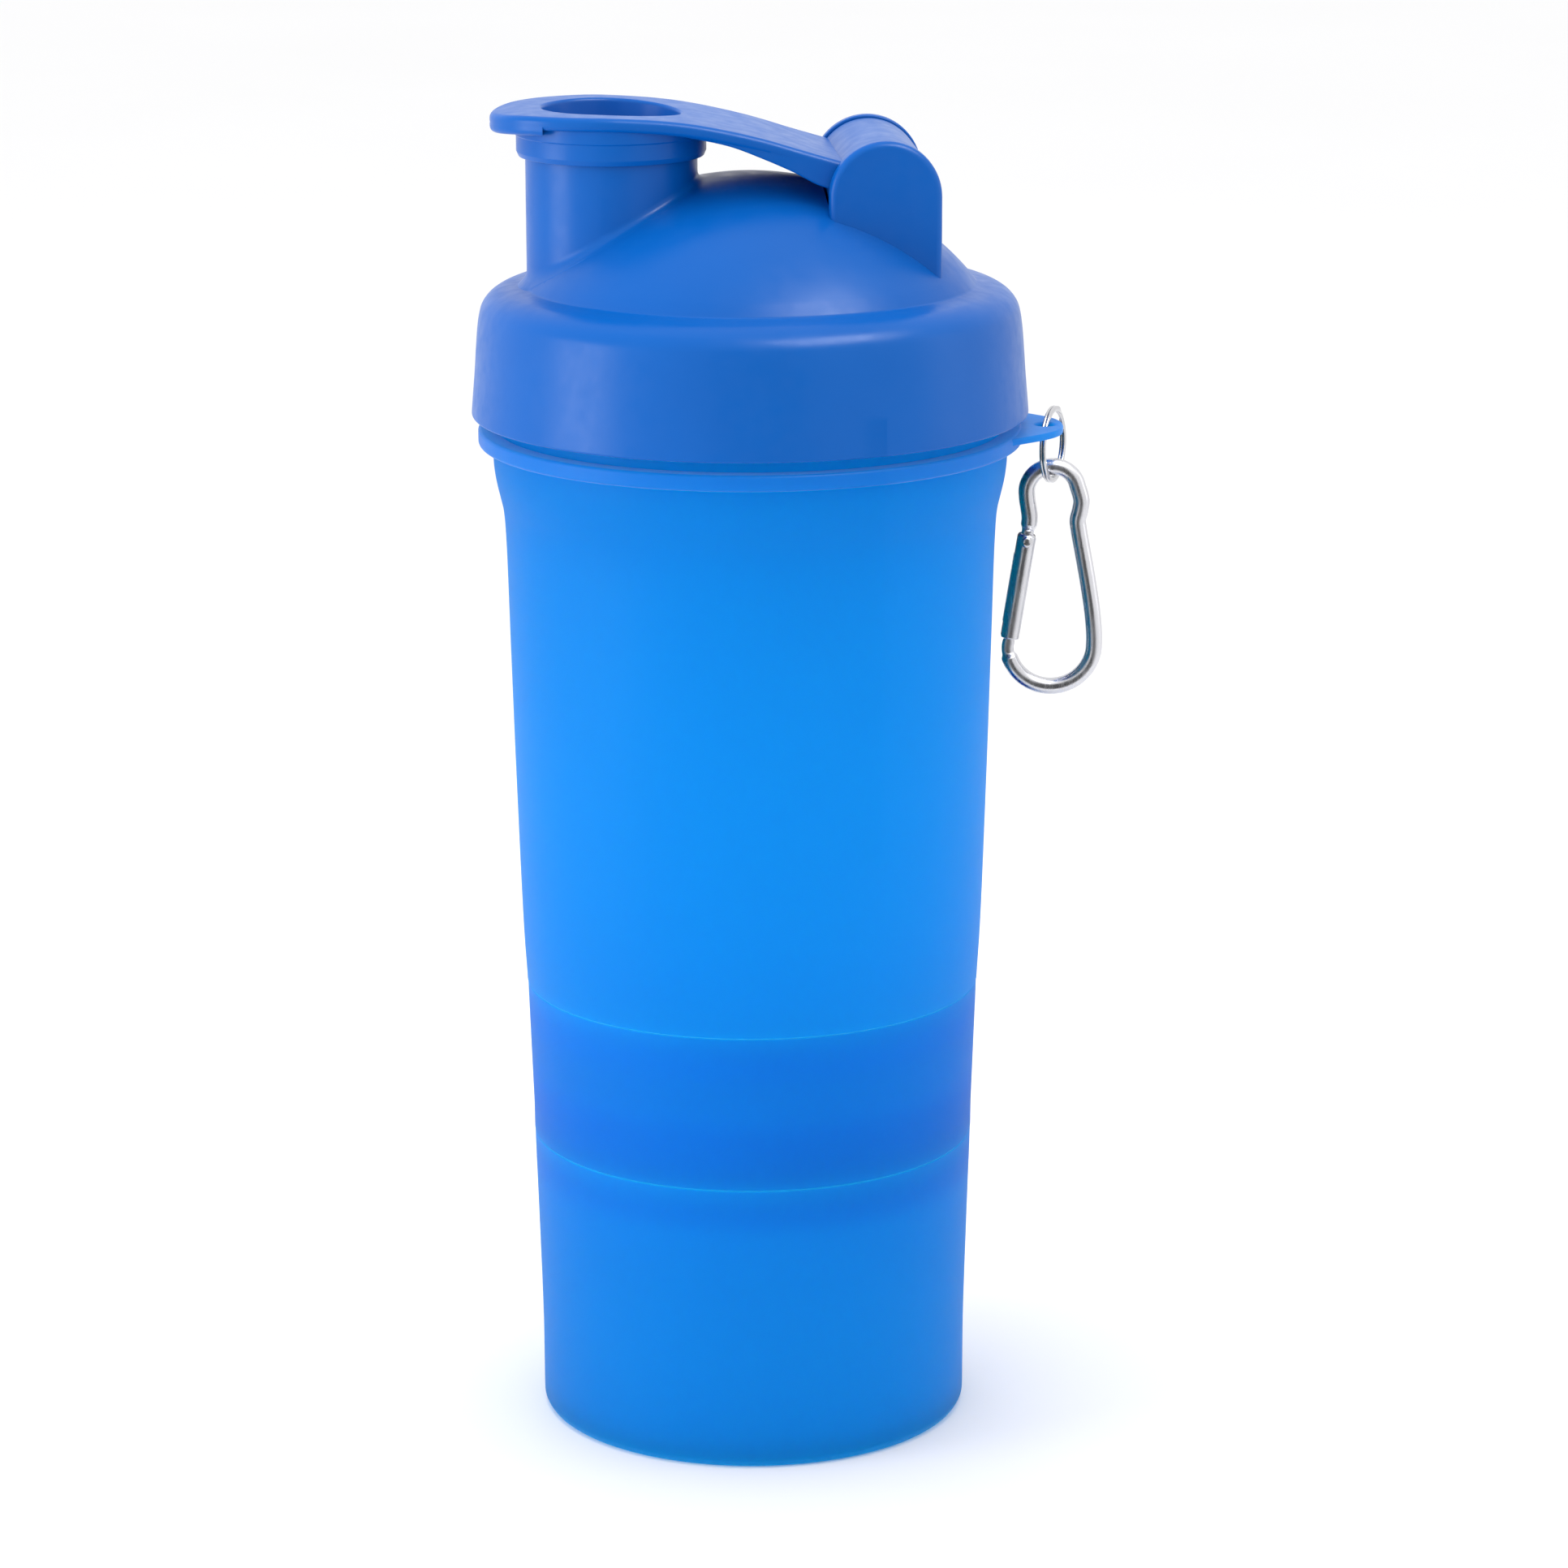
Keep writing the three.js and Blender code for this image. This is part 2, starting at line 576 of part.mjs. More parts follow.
// The gate is drawn along -Z from its pivot. It has a channel along its inner side, and a slot
// through each end for the tongue and the nose.
function carabinerGate() {
  const rod = upright(GATE_RADIUS, 0, -GATE_LENGTH, 1.2, AROUND_PIN + 4);
  const slot = (x0, z0, z1) => box(x0, 3, -GATE_SLOT / 2, GATE_SLOT / 2, z0, z1);
  const channel = slot(0.2, -GATE_LENGTH - 1, 2);
  const upperSlot = slot(-3, -2.6, 2);
  const lowerSlot = slot(-3, -GATE_LENGTH - 1, -GATE_LENGTH + 3);
  const hole = crossbar(RIVET_HOLE, 0, 0, 3, AROUND_PIN);
  return named('carabiner_gate', cut(rod, channel, upperSlot, lowerSlot, hole), aluminium);
}

function gateRivet() {
  const half = GATE_RADIUS + 0.75;
  const head = GATE_RADIUS + GAP;
  const profile = [[0, -half], [0.8, -half], [1, -half + 0.2], [1, -head], [0.55, -head]];
  const mirrored = profile.map(([radius, height]) => [radius, -height]).reverse();
  const rivet = turned([...profile, ...mirrored], AROUND_PIN);
  return named('gate_rivet', rivet.rotate([90, 0, 0]), steel);
}

// A bent strip in the gate's channel, whose upper end presses on the tongue.
function gateSpring() {
  const shape = outline([[0.5, -1.7], [0.9, -1.7], [1.1, -6], [0.9, -12], [0.5, -12], [0.7, -6]]);
  return named('gate_spring', sideways(shape, -0.4, 0.4), steel);
}

function carabiner() {
  const pivoted = new THREE.Group();
  pivoted.position.copy(GATE_PIVOT);
  pivoted.rotation.y = GATE_LEAN;
  pivoted.add(carabinerGate(), gateRivet(), gateSpring());
  const whole = new THREE.Group();
  whole.add(carabinerBody(), pivoted);
  return whole;
}

function carryGroup() {
  const group = new THREE.Group();
  group.rotation.z = RING_TURN;
  const ring = keyRing();
  const centre = new THREE.Vector3(
    TAB_HOLE_X + KEY_RING_OFFSET * Math.cos(KEY_RING_TURN),
    KEY_RING_OFFSET * Math.sin(KEY_RING_TURN),
    KEY_RING_Z,
  );
  ring.position.copy(centre);
  ring.rotation.z = KEY_RING_TURN;
  const clip = carabiner();
  clip.position.copy(centre);
  clip.position.z += -KEY_RING_RADIUS + KEY_WIRE + GAP + CLIP_WIRE;
  group.add(carryRing(), ring, clip);
  return group;
}

const shaker = new THREE.Group();
shaker.add(
  bottomCompartment(),
  compartmentSeal('lower_seal', LOWER_SEAM, LOWER_SPIGOT, LOWER_WALL),
  middleCompartment(),
  pillTray(),
  compartmentSeal('upper_seal', UPPER_SEAM, UPPER_SPIGOT, UPPER_WALL),
  cup(),
  carryGroup(),
  lidGasket(),
  lid(),
  strainer(),
  flipCap(),
);

export default shaker;
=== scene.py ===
"""The looks of a protein shaker bottle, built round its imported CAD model.

Shapes are drawn in millimetres in the CAD frame and turned into metres at the end. The spout is toward
-X, the flip cap's hinge toward +X, and the floor is at Z = 0.
"""

import json
import math

import bmesh
import bpy
from mathutils import Euler, Matrix, Vector


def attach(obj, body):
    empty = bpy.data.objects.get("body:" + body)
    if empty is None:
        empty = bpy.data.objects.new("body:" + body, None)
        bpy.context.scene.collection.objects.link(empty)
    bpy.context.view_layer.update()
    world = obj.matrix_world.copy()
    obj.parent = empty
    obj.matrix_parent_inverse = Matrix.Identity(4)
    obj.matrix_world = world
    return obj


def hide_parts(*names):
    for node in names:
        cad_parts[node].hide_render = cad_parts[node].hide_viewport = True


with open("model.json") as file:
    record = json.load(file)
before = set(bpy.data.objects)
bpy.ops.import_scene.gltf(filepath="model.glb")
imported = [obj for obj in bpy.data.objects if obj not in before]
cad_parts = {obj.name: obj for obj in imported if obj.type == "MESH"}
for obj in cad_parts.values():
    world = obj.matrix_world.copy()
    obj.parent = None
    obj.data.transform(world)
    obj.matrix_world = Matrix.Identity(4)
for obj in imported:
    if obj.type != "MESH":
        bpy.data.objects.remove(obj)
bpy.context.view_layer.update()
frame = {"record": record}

# ---- driving sizes, in millimetres ----

MM = 0.001
AROUND = 160
BEVEL_STEPS = 5
GAP = 0.3

LOWER_SEAM = 52.2
UPPER_SEAM = 80.3
COLLAR_TOP = 178.05
RIM_TOP = 201.5
SKIRT_BOTTOM = 183.5
DOME_FOOT = 206.6
DOME_TOP = 225.5

SPIGOT_DEPTH = 8
SPIGOT_LEAD = 4
LOWER_WALL = 37.75
LOWER_SPIGOT = 36.3
UPPER_WALL = 38.55
UPPER_SPIGOT = 37
SEAL_GROOVE = 0.9
SEAL_GROOVE_HEIGHT = 2.4
BELOW_SEAM = 0.06
ABOVE_SEAM = 0.06
SEAM_EDGE = 0.15
TRAY_LEDGE = 54

LID_LEAD = 6
NECK_RADIUS = 44.3
MOUTH_RADIUS = 42.4
SKIRT_RADIUS = 48.95
SKIRT_INSIDE = 46.5
PLUG_OUTSIDE = 41.9
PLUG_INSIDE = 40.4
DOME_FOOT_RADIUS = 39.6
DOME_WALL = 1.9
DOME_RISE = DOME_TOP - DOME_FOOT
DOME_RADIUS = (DOME_FOOT_RADIUS ** 2 + DOME_RISE ** 2) / (2 * DOME_RISE)
DOME_CENTRE = DOME_TOP - DOME_RADIUS
GASKET_SPACE = 1.5
STRAINER_LOW = 197
STRAINER_PLATE = 1.3

SPOUT_X = -24
SPOUT_RADIUS = 14.95
SPOUT_BORE = 13.15
SPOUT_TOP = 232.6
SPOUT_FILLET = 1.6
HINGE_X = 22.1
HINGE_Z = 223.5
EAR_RADIUS = 9.7
EAR_FACE = 19.75
EAR_INSIDE = 16.85
BARREL_RADIUS = 9.25
BARREL_HALF = 16.4
PIN_RADIUS = 2.4
PIN_REACH = 18.35
SHELL = 1.8
CAP_THICKNESS = 2.4
CAP_HALF_WIDTH = 17.6
CAP_NOSE = 21
CAP_LIP_END = -36.3
CAP_LIP_DEPTH = 1

RING_TURN = math.radians(-4.3)
RING_INSIDE = 44.65
RING_OUTSIDE = 47.85
RING_BOTTOM = 178.35
RING_TOP = 181.2
TAB_THICKNESS = 1.25
TAB_HOLE_X = 51.9
TAB_HOLE_RADIUS = 1.7
KEY_RING_RADIUS = 6.35
KEY_WIRE = 0.55
KEY_RING_Z = 176.5
KEY_RING_TURN = math.radians(70.7)
KEY_RING_OFFSET = 5.1
CLIP_WIRE = 1.5
CLIP_LENGTH = 40
BOW_RADIUS = 7.75
EYE_RADIUS = 4.6
TONGUE_THICKNESS = 1.1
GATE_RADIUS = 1.85
GATE_SLOT = 1.7
GATE_LENGTH = 18.05
RIVET_HOLE = 0.85

# ---- shapes ----


def soften(profile, closed=False):
    """Corners of (x, y, fillet) become arcs; corners of (x, y) stay as they are."""
    points = []
    count = len(profile)
    for i, corner in enumerate(profile):
        here = Vector(corner[:2])
        inner = closed or 0 < i < count - 1
        if len(corner) < 3 or not inner:
            points.append(here)
            continue
        before = Vector(profile[i - 1][:2]) - here
        after = Vector(profile[(i + 1) % count][:2]) - here
        turn = math.pi - before.angle(after)
        if turn < 0.02:
            points.append(here)
            continue
        run = min(corner[2] * math.tan(turn / 2), 0.48 * before.length, 0.48 * after.length)
        radius = run / math.tan(turn / 2)
        before.normalize()
        after.normalize()
        centre = here + (before + after).normalized() * (radius / math.cos(turn / 2))
        start = here + before * run - centre
        end = here + after * run - centre
        steps = max(2, math.ceil(turn / math.radians(16)))
        for k in range(steps + 1):
            share = k / steps
            point = start * math.sin((1 - share) * turn) + end * math.sin(share * turn)
            points.append(centre + point / math.sin(turn))
    return points


def curve_through(points, steps=6):
    """A smooth line through the points: a centripetal Catmull-Rom curve."""
    spots = [Vector(point) for point in points]
    spots = [2 * spots[0] - spots[1]] + spots + [2 * spots[-1] - spots[-2]]
    line = []
    for a, b, c, d in zip(spots, spots[1:], spots[2:], spots[3:]):
        t0 = 0
        t1 = t0 + math.sqrt((b - a).length)
        t2 = t1 + math.sqrt((c - b).length)
        t3 = t2 + math.sqrt((d - c).length)
        for k in range(steps):
            t = t1 + (t2 - t1) * k / steps
            ab = a.lerp(b, (t - t0) / (t1 - t0))
            bc = b.lerp(c, (t - t1) / (t2 - t1))
            cd = c.lerp(d, (t - t2) / (t3 - t2))
            abc = ab.lerp(bc, (t - t0) / (t2 - t0))
            bcd = bc.lerp(cd, (t - t1) / (t3 - t1))
            line.append(abc.lerp(bcd, (t - t1) / (t2 - t1)))
    return line + [spots[-2]]


def height_on(line, x):
    """The second coordinate of a line of points at x; the line's first coordinate only rises."""
    for a, b in zip(line, line[1:]):
        if x <= b[0]:
            return a[1] + (b[1] - a[1]) * (x - a[0]) / (b[0] - a[0])
    return line[-1][1]


def skin(bm, rings, closed_rings=True, closed_way=False):
    """Faces between neighbouring rings of vertices. A ring of one vertex is a point."""
    ways = list(zip(rings, rings[1:]))
    if closed_way:
        ways.append((rings[-1], rings[0]))
    for low, high in ways:
        count = max(len(low), len(high))
        for i in range(count if closed_rings else count - 1):
            j = (i + 1) % count
            if len(low) == 1 and len(high) == 1:
                continue
            if len(low) == 1:
                bm.faces.new((low[0], high[j], high[i]))
            elif len(high) == 1:
                bm.faces.new((low[i], low[j], high[0]))
            else:
                bm.faces.new((low[i], low[j], high[j], high[i]))


def finished(bm):
    bmesh.ops.recalc_face_normals(bm, faces=bm.faces)
    mesh = bpy.data.meshes.new("shape")
    bm.to_mesh(mesh)
    bm.free()
    shape = bpy.data.objects.new("shape", mesh)
    bpy.context.collection.objects.link(shape)
    return shape


def turned(profile, around=AROUND, closed=False, x=0.0, warp=None):
    """A solid of revolution about an upright axis at x, from (radius, height) points."""
    bm = bmesh.new()
    rings = []
    for radius, z in profile:
        if radius < 1e-6:
            rings.append([bm.verts.new((x, 0, z))])
            continue
        ring = []
        for i in range(around):
            angle = 2 * math.pi * i / around
            ring.append(bm.verts.new((x + radius * math.cos(angle), radius * math.sin(angle), z)))
        rings.append(ring)
    skin(bm, rings, closed_way=closed)
    if warp:
        for vertex in bm.verts:
            vertex.co.z += warp(vertex.co)
    return finished(bm)


def slab(outline, low, high, fillet=0.0, across="z", fillet_high=None):
    """A closed plan given a thickness, with rounded edges. Across y, the plan is in X and Z."""
    bm = bmesh.new()
    points = [Vector(point[:2]) for point in outline]
    area = sum(a.x * b.y - b.x * a.y for a, b in zip(points, points[1:] + points[:1]))
    if area < 0:
        points.reverse()
    inward = []
    count = len(points)
    for i, point in enumerate(points):
        before = (point - points[i - 1]).normalized()
        after = (points[(i + 1) % count] - point).normalized()
        normal = Vector((-before.y - after.y, before.x + after.x)).normalized()
        inward.append(normal / max(0.5, normal.dot(Vector((-after.y, after.x)))))
    top_fillet = fillet if fillet_high is None else fillet_high
    levels = []
    for size, start, sign in ((fillet, low, 1), (top_fillet, high, -1)):
        if size:
            part = []
            for k in range(BEVEL_STEPS + 1):
                angle = math.pi / 2 * k / BEVEL_STEPS
                part.append((size * (1 - math.sin(angle)), start + sign * size * (1 - math.cos(angle))))
        else:
            part = [(0, start)]
        levels.extend(part if sign == 1 else reversed(part))
    rings = []
    for inset, level in levels:
        ring = []
        for point, normal in zip(points, inward):
            spot = point + normal * inset
            place = (spot.x, spot.y, level) if across == "z" else (spot.x, level, spot.y)
            ring.append(bm.verts.new(place))
        rings.append(ring)
    skin(bm, rings)
    bm.faces.new(rings[0])
    bm.faces.new(rings[-1])
    return finished(bm)


def block(x0, x1, y0, y1, z0, z1):
    return slab([(x0, y0), (x1, y0), (x1, y1), (x0, y1)], z0, z1)


def crossbar(radius, x, z, half, fillet=0.0, around=96):
    """A round bar along Y, centred on Y = 0, with rounded edges."""
    outline = [
        (x + radius * math.cos(2 * math.pi * i / around), z + radius * math.sin(2 * math.pi * i / around))
        for i in range(around)
    ]
    return slab(outline, -half, half, fillet, across="y")


def swept(path, sizes, around=32, ends=True):
    """A tube along a line in X and Z. Each size is (half width in the plane, half width along Y)."""
    bm = bmesh.new()
    rings = []
    last = len(path) - 1
    for i, (centre, (wide, deep)) in enumerate(zip(path, sizes)):
        along = (path[min(i + 1, last)] - path[max(i - 1, 0)]).normalized()
        side = Vector((along.z, 0, -along.x))
        ring = []
        for k in range(around):
            angle = 2 * math.pi * k / around
            offset = side * (wide * math.cos(angle)) + Vector((0, deep * math.sin(angle), 0))
            ring.append(bm.verts.new(centre + offset))
        rings.append(ring)
    skin(bm, rings)
    if ends:
        bm.faces.new(rings[0])
        bm.faces.new(rings[-1])
    return finished(bm)


def thread(wall, crest, lead, turns, z, width):
    """A rounded helical ridge that rises out of a wall and sinks back into it at both ends."""
    bm = bmesh.new()
    sunk = wall + math.copysign(0.4, wall - crest)
    steps = round(turns * 72)
    rings = []
    for i in range(steps + 1):
        along = i / steps
        angle = 2 * math.pi * turns * along
        rise = min(1.0, 12 * min(along, 1 - along) + 0.2)
        section = [(sunk, -0.5), (wall, -0.5), (0.85, -0.31), (1.0, -0.16), (1.0, 0.16), (0.85, 0.31)]
        section += [(wall, 0.5), (sunk, 0.5)]
        ring = []
        for reach, share in section:
            radius = reach if reach > 1.0 else wall + (crest - wall) * reach * rise
            height = z + lead * turns * along + share * width
            ring.append(bm.verts.new((radius * math.cos(angle), radius * math.sin(angle), height)))
        rings.append(ring)
    skin(bm, rings)
    bm.faces.new(rings[0])
    bm.faces.new(rings[-1])
    return finished(bm)


def combined(base, others, operation):
    """The boolean of one shape with the others, which are used up."""
    for other in others:
        modifier = base.modifiers.new("combine", "BOOLEAN")
        modifier.operation = operation
        modifier.solver = "MANIFOLD"
        modifier.object = other
    bpy.context.view_layer.update()
    whole = base.evaluated_get(bpy.context.evaluated_depsgraph_get())
    base_mesh = bpy.data.meshes.new_from_object(whole)
    base.modifiers.clear()
    base.data = base_mesh
    for other in others:
        bpy.data.objects.remove(other)
    return base


def united(base, *others):
    return combined(base, others, "UNION")


def cut(base, *others):
    return combined(base, others, "DIFFERENCE")


def moved(shape, matrix):
    shape.data.transform(matrix)
    return shape


# ---- materials ----


def in_millimetres(nodes, links):
    """The piece's own coordinates, in millimetres."""
    place = nodes.new("ShaderNodeTexCoord")
    scale = nodes.new("ShaderNodeMapping")
    scale.inputs["Scale"].default_value = (1000, 1000, 1000)
    links.new(place.outputs["Object"], scale.inputs["Vector"])
    return scale.outputs["Vector"]


def noise(nodes, links, place, scale, detail, stretch=None):
    if stretch:
        squeeze = nodes.new("ShaderNodeMapping")
        squeeze.inputs["Scale"].default_value = stretch
        links.new(place, squeeze.inputs["Vector"])
        place = squeeze.outputs["Vector"]
    texture = nodes.new("ShaderNodeTexNoise")
    texture.inputs["Scale"].default_value = scale
    texture.inputs["Detail"].default_value = detail
    links.new(place, texture.inputs["Vector"])
    return texture.outputs["Fac"]


def spread(nodes, links, value, low, high):
    """A noise value spread over a range."""
    ramp = nodes.new("ShaderNodeMapRange")
    ramp.inputs["From Min"].default_value = 0.3
    ramp.inputs["From Max"].default_value = 0.7
    ramp.inputs["To Min"].default_value = low
    ramp.inputs["To Max"].default_value = high
    links.new(value, ramp.inputs["Value"])
    return ramp.outputs["Result"]


def tinted(nodes, links, value, dark, light):
    mix = nodes.new("ShaderNodeMix")
    mix.data_type = "RGBA"
    mix.inputs["A"].default_value = (*dark, 1)
    mix.inputs["B"].default_value = (*light, 1)
    links.new(spread(nodes, links, value, 0, 1), mix.inputs["Factor"])
    return mix.outputs["Result"]


def material(name, dark, light, roughness, metallic=0.0, grain=0.02, see_through=0.0, glow=None,
             subsurface=0.0, drawn=None, gleam=0.3, sheen=0.22):
    """A finish with slow colour shifts, uneven gloss and a fine surface grain."""
    look = bpy.data.materials.new(name)
    look.use_nodes = True
    nodes = look.node_tree.nodes
    links = look.node_tree.links
    shader = nodes["Principled BSDF"]
    place = in_millimetres(nodes, links)
    shifts = noise(nodes, links, place, 0.035, 3)
    links.new(tinted(nodes, links, shifts, dark, light), shader.inputs["Base Color"])
    gloss = noise(nodes, links, place, 0.35, 4, drawn)
    links.new(spread(nodes, links, gloss, roughness[0], roughness[1]), shader.inputs["Roughness"])
    bump = nodes.new("ShaderNodeBump")
    bump.inputs["Strength"].default_value = 0.5
    bump.inputs["Distance"].default_value = grain * MM
    links.new(noise(nodes, links, place, 2.2, 5, drawn), bump.inputs["Height"])
    links.new(bump.outputs["Normal"], shader.inputs["Normal"])
    shader.inputs["Metallic"].default_value = metallic
    shader.inputs["IOR"].default_value = 1.49
    shader.inputs["Specular IOR Level"].default_value = gleam
    shader.inputs["Sheen Weight"].default_value = sheen
    shader.inputs["Sheen Roughness"].default_value = 0.4
    if subsurface:
        shader.inputs["Subsurface Weight"].default_value = subsurface
        shader.inputs["Subsurface Radius"].default_value = (0.4, 0.9, 1.6)
        shader.inputs["Subsurface Scale"].default_value = MM
    if see_through:
        output = nodes["Material Output"]
        behind = nodes.new("ShaderNodeBsdfTranslucent")
        behind.inputs["Color"].default_value = (*glow, 1)
        links.new(bump.outputs["Normal"], behind.inputs["Normal"])
        mix = nodes.new("ShaderNodeMixShader")
        mix.inputs["Fac"].default_value = see_through
        links.new(shader.outputs["BSDF"], mix.inputs[1])
        links.new(behind.outputs["BSDF"], mix.inputs[2])
        links.new(mix.outputs["Shader"], output.inputs["Surface"])
    return look


FINISHES = {
    "lid_blue": material(
        "lid_blue", (0.000, 0.094, 0.410), (0.000, 0.102, 0.435), (0.28, 0.38), grain=0.012, gleam=0.2, sheen=0,
    ),
    "frosted_blue": material(
        "frosted_blue", (0.000, 0.240, 0.860), (0.000, 0.260, 0.900), (0.42, 0.52), grain=0.02,
        see_through=0.76, glow=(0.001, 0.80, 0.97), sheen=0.5,
    ),
    "ring_blue": material(
        "ring_blue", (0.000, 0.200, 0.720), (0.000, 0.215, 0.760), (0.36, 0.46), grain=0.02,
        see_through=0.5, glow=(0.001, 0.66, 0.95), sheen=0.3,
    ),
    "tray_blue": material(
        "tray_blue", (0.000, 0.160, 0.650), (0.000, 0.180, 0.700), (0.36, 0.46), grain=0.02,
        see_through=0.5, glow=(0.001, 0.5, 0.9),
    ),
    "silicone": material(
        "silicone", (0.62, 0.68, 0.74), (0.70, 0.75, 0.80), (0.45, 0.60), grain=0.02,
        see_through=0.3, glow=(0.8, 0.85, 0.9),
    ),
    "steel": material(
        "steel", (0.52, 0.52, 0.54), (0.62, 0.62, 0.64), (0.16, 0.30), metallic=1, grain=0.004,
        gleam=0.5, sheen=0,
    ),
    "aluminium": material(
        "aluminium", (0.58, 0.58, 0.61), (0.68, 0.68, 0.71), (0.20, 0.36), metallic=1, grain=0.006,
        drawn=(3, 3, 0.25), gleam=0.5, sheen=0,
    ),
}
BODIES = {
    node: body for body, members in frame["record"]["behaviour"]["bodies"].items() for node in members
}
SLOTS = {part["node"]: part["material_slot"] for part in frame["record"]["subparts"]}


def piece(name, node, shape, smooth=36, finish=None):
    """Gives a shape its name, its finish and the CAD node that it stands for."""
    shape.name = name
    shape.data.name = name
    shape.data.transform(Matrix.Scale(MM, 4))
    shape.data.shade_smooth()
    shape.data.set_sharp_from_angle(angle=math.radians(smooth))
    even = shape.modifiers.new("even_normals", "WEIGHTED_NORMAL")
    even.keep_sharp = True
    shape.data.materials.clear()
    shape.data.materials.append(FINISHES[finish or SLOTS[node]])
    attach(shape, BODIES[node])
    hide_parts(node)
    return shape


# ---- the compartments and the cup ----


def spigot(seam, radius):
    """The outer profile of a spigot with its seal groove, from the axis up to the seam."""
    bottom = seam - SPIGOT_DEPTH
    groove = seam - SEAL_GROOVE_HEIGHT
    return [
        (0, bottom), (radius, bottom, 0.8), (radius, groove, 0.15), (radius - SEAL_GROOVE, groove, 0.2),
        (radius - SEAL_GROOVE, seam + ABOVE_SEAM, 0.2),
    ]


def spigot_thread(wall, crest, z):
    return thread(wall, crest, SPIGOT_LEAD, 0.5, z, 1.3)


def make_bottom_compartment():
    top = LOWER_SEAM - BELOW_SEAM
    outside = curve_through([(38.45, 3.2), (38.5, 15), (39, 34), (39.5, 50), (39.53, top - 0.7)])
    profile = soften([(0, 0), (37.6, 0, 1.2), (38.42, 1.4, 1.6), (38.45, 3.2)])
    profile = profile[:-1] + outside
    profile += soften([
        (39.53, top - 0.7), (39.55, top, SEAM_EDGE), (LOWER_WALL, top, SEAM_EDGE), (LOWER_WALL, 44), (36.7, 5, 6),
        (35.7, 2, 3), (0, 2),
    ])[1:]
    shell = turned(profile)
    ridge = spigot_thread(LOWER_WALL, LOWER_WALL - 0.95, LOWER_SEAM - 5.3)
    piece("bottom_compartment_shell", "bottom_compartment", united(shell, ridge))


def make_middle_compartment():
    top = UPPER_SEAM - BELOW_SEAM
    profile = soften(spigot(LOWER_SEAM, LOWER_SPIGOT) + [
        (39.6, LOWER_SEAM + ABOVE_SEAM, SEAM_EDGE), (39.65, 57), (40.4, 78), (40.45, top, SEAM_EDGE),
        (UPPER_WALL, top, SEAM_EDGE), (UPPER_WALL, 72), (38, 57, 8), (37.4, TRAY_LEDGE, 1.2), (33.7, TRAY_LEDGE, 0.7), (33.7, 48, 2), (33, 46, 2),
        (0, 46),
    ])
    shell = turned(profile)
    male = spigot_thread(LOWER_SPIGOT, LOWER_SPIGOT + 0.95, LOWER_SEAM - 7.2)
    female = spigot_thread(UPPER_WALL, UPPER_WALL - 0.95, UPPER_SEAM - 5.3)
    piece("middle_compartment_shell", "middle_compartment", united(shell, male, female))


def make_pill_tray():
    radius = 36.9
    wall = 1.2
    bottom = TRAY_LEDGE + GAP
    top = bottom + 10
    dish = turned(soften([
        (0, bottom), (radius - 0.7, bottom, 1.8), (radius, bottom + 2.4, 2), (radius, top, 0.4),
        (radius - wall, top, 0.4), (radius - wall, bottom + wall, 1.4), (0, bottom + wall),
    ]))
    reach = radius - wall / 2
    half = wall / 2
    along = slab(
        [(-reach, bottom + 0.6), (reach, bottom + 0.6), (reach, top - 0.6), (-reach, top - 0.6)],
        -half, half, 0.35, across="y",
    )
    across = moved(along.copy(), Matrix.Identity(4))
    across.data = along.data.copy()
    bpy.context.collection.objects.link(across)
    moved(across, Matrix.Rotation(math.pi / 2, 4, "Z"))
    piece("pill_tray_dish", "pill_tray", united(dish, along, across))


def make_compartment_seal(name, node, seam, spigot_radius, wall):
    inside = spigot_radius - SEAL_GROOVE + GAP
    outside = wall - GAP
    low = seam - SEAL_GROOVE_HEIGHT + GAP
    high = seam + ABOVE_SEAM - GAP
    corner = 0.42
    piece(name, node, turned(soften([
        (inside, low, corner), (outside, low, corner), (outside, high, corner), (inside, high, corner),
    ], closed=True), closed=True))


def make_cup():
    flank = curve_through([
        (40.62, UPPER_SEAM + 1.4), (41.1, 90), (42.1, 120), (42.7, 142), (43.25, 162), (43.6, 166.5),
        (44.15, 169), (44.75, 171.6), (45.15, 174.3), (45.27, 176.4),
    ])
    foot = [(40.55, UPPER_SEAM + ABOVE_SEAM, SEAM_EDGE), (40.62, UPPER_SEAM + 1.4)]
    profile = soften(spigot(UPPER_SEAM, UPPER_SPIGOT) + foot)
    profile = profile[:-1] + flank
    profile += soften([
        (45.27, 176.4), (45.3, COLLAR_TOP, 0.4), (NECK_RADIUS, COLLAR_TOP, 0.3), (NECK_RADIUS, RIM_TOP, 0.7), (MOUTH_RADIUS, RIM_TOP, 0.7),
        (MOUTH_RADIUS, 172, 12), (41.4, 164, 20), (40.2, 120), (39.1, 88, 12), (38.2, 83.6, 4),
        (35.2, 81.6, 3), (34.4, 79.4, 2), (34.4, 74.2, 2.4), (0, 74.2),
    ])[1:]
    shell = turned(profile)
    male = spigot_thread(UPPER_SPIGOT, UPPER_SPIGOT + 0.95, UPPER_SEAM - 7.2)
    neck = thread(NECK_RADIUS, NECK_RADIUS + 1.3, LID_LEAD, 1.1, 190, 1.8)
    piece("cup_shell", "cup", united(shell, male, neck)).visible_glossy = False


# ---- the lid ----


def dome_arc(radius, foot, steps=48):
    """Points on the dome from its foot to the axis."""
    first = math.asin(foot / radius)
    return [
        Vector((radius * math.sin(first * (1 - i / steps)), DOME_CENTRE + radius * math.cos(first * (1 - i / steps))))
        for i in range(steps + 1)
    ]


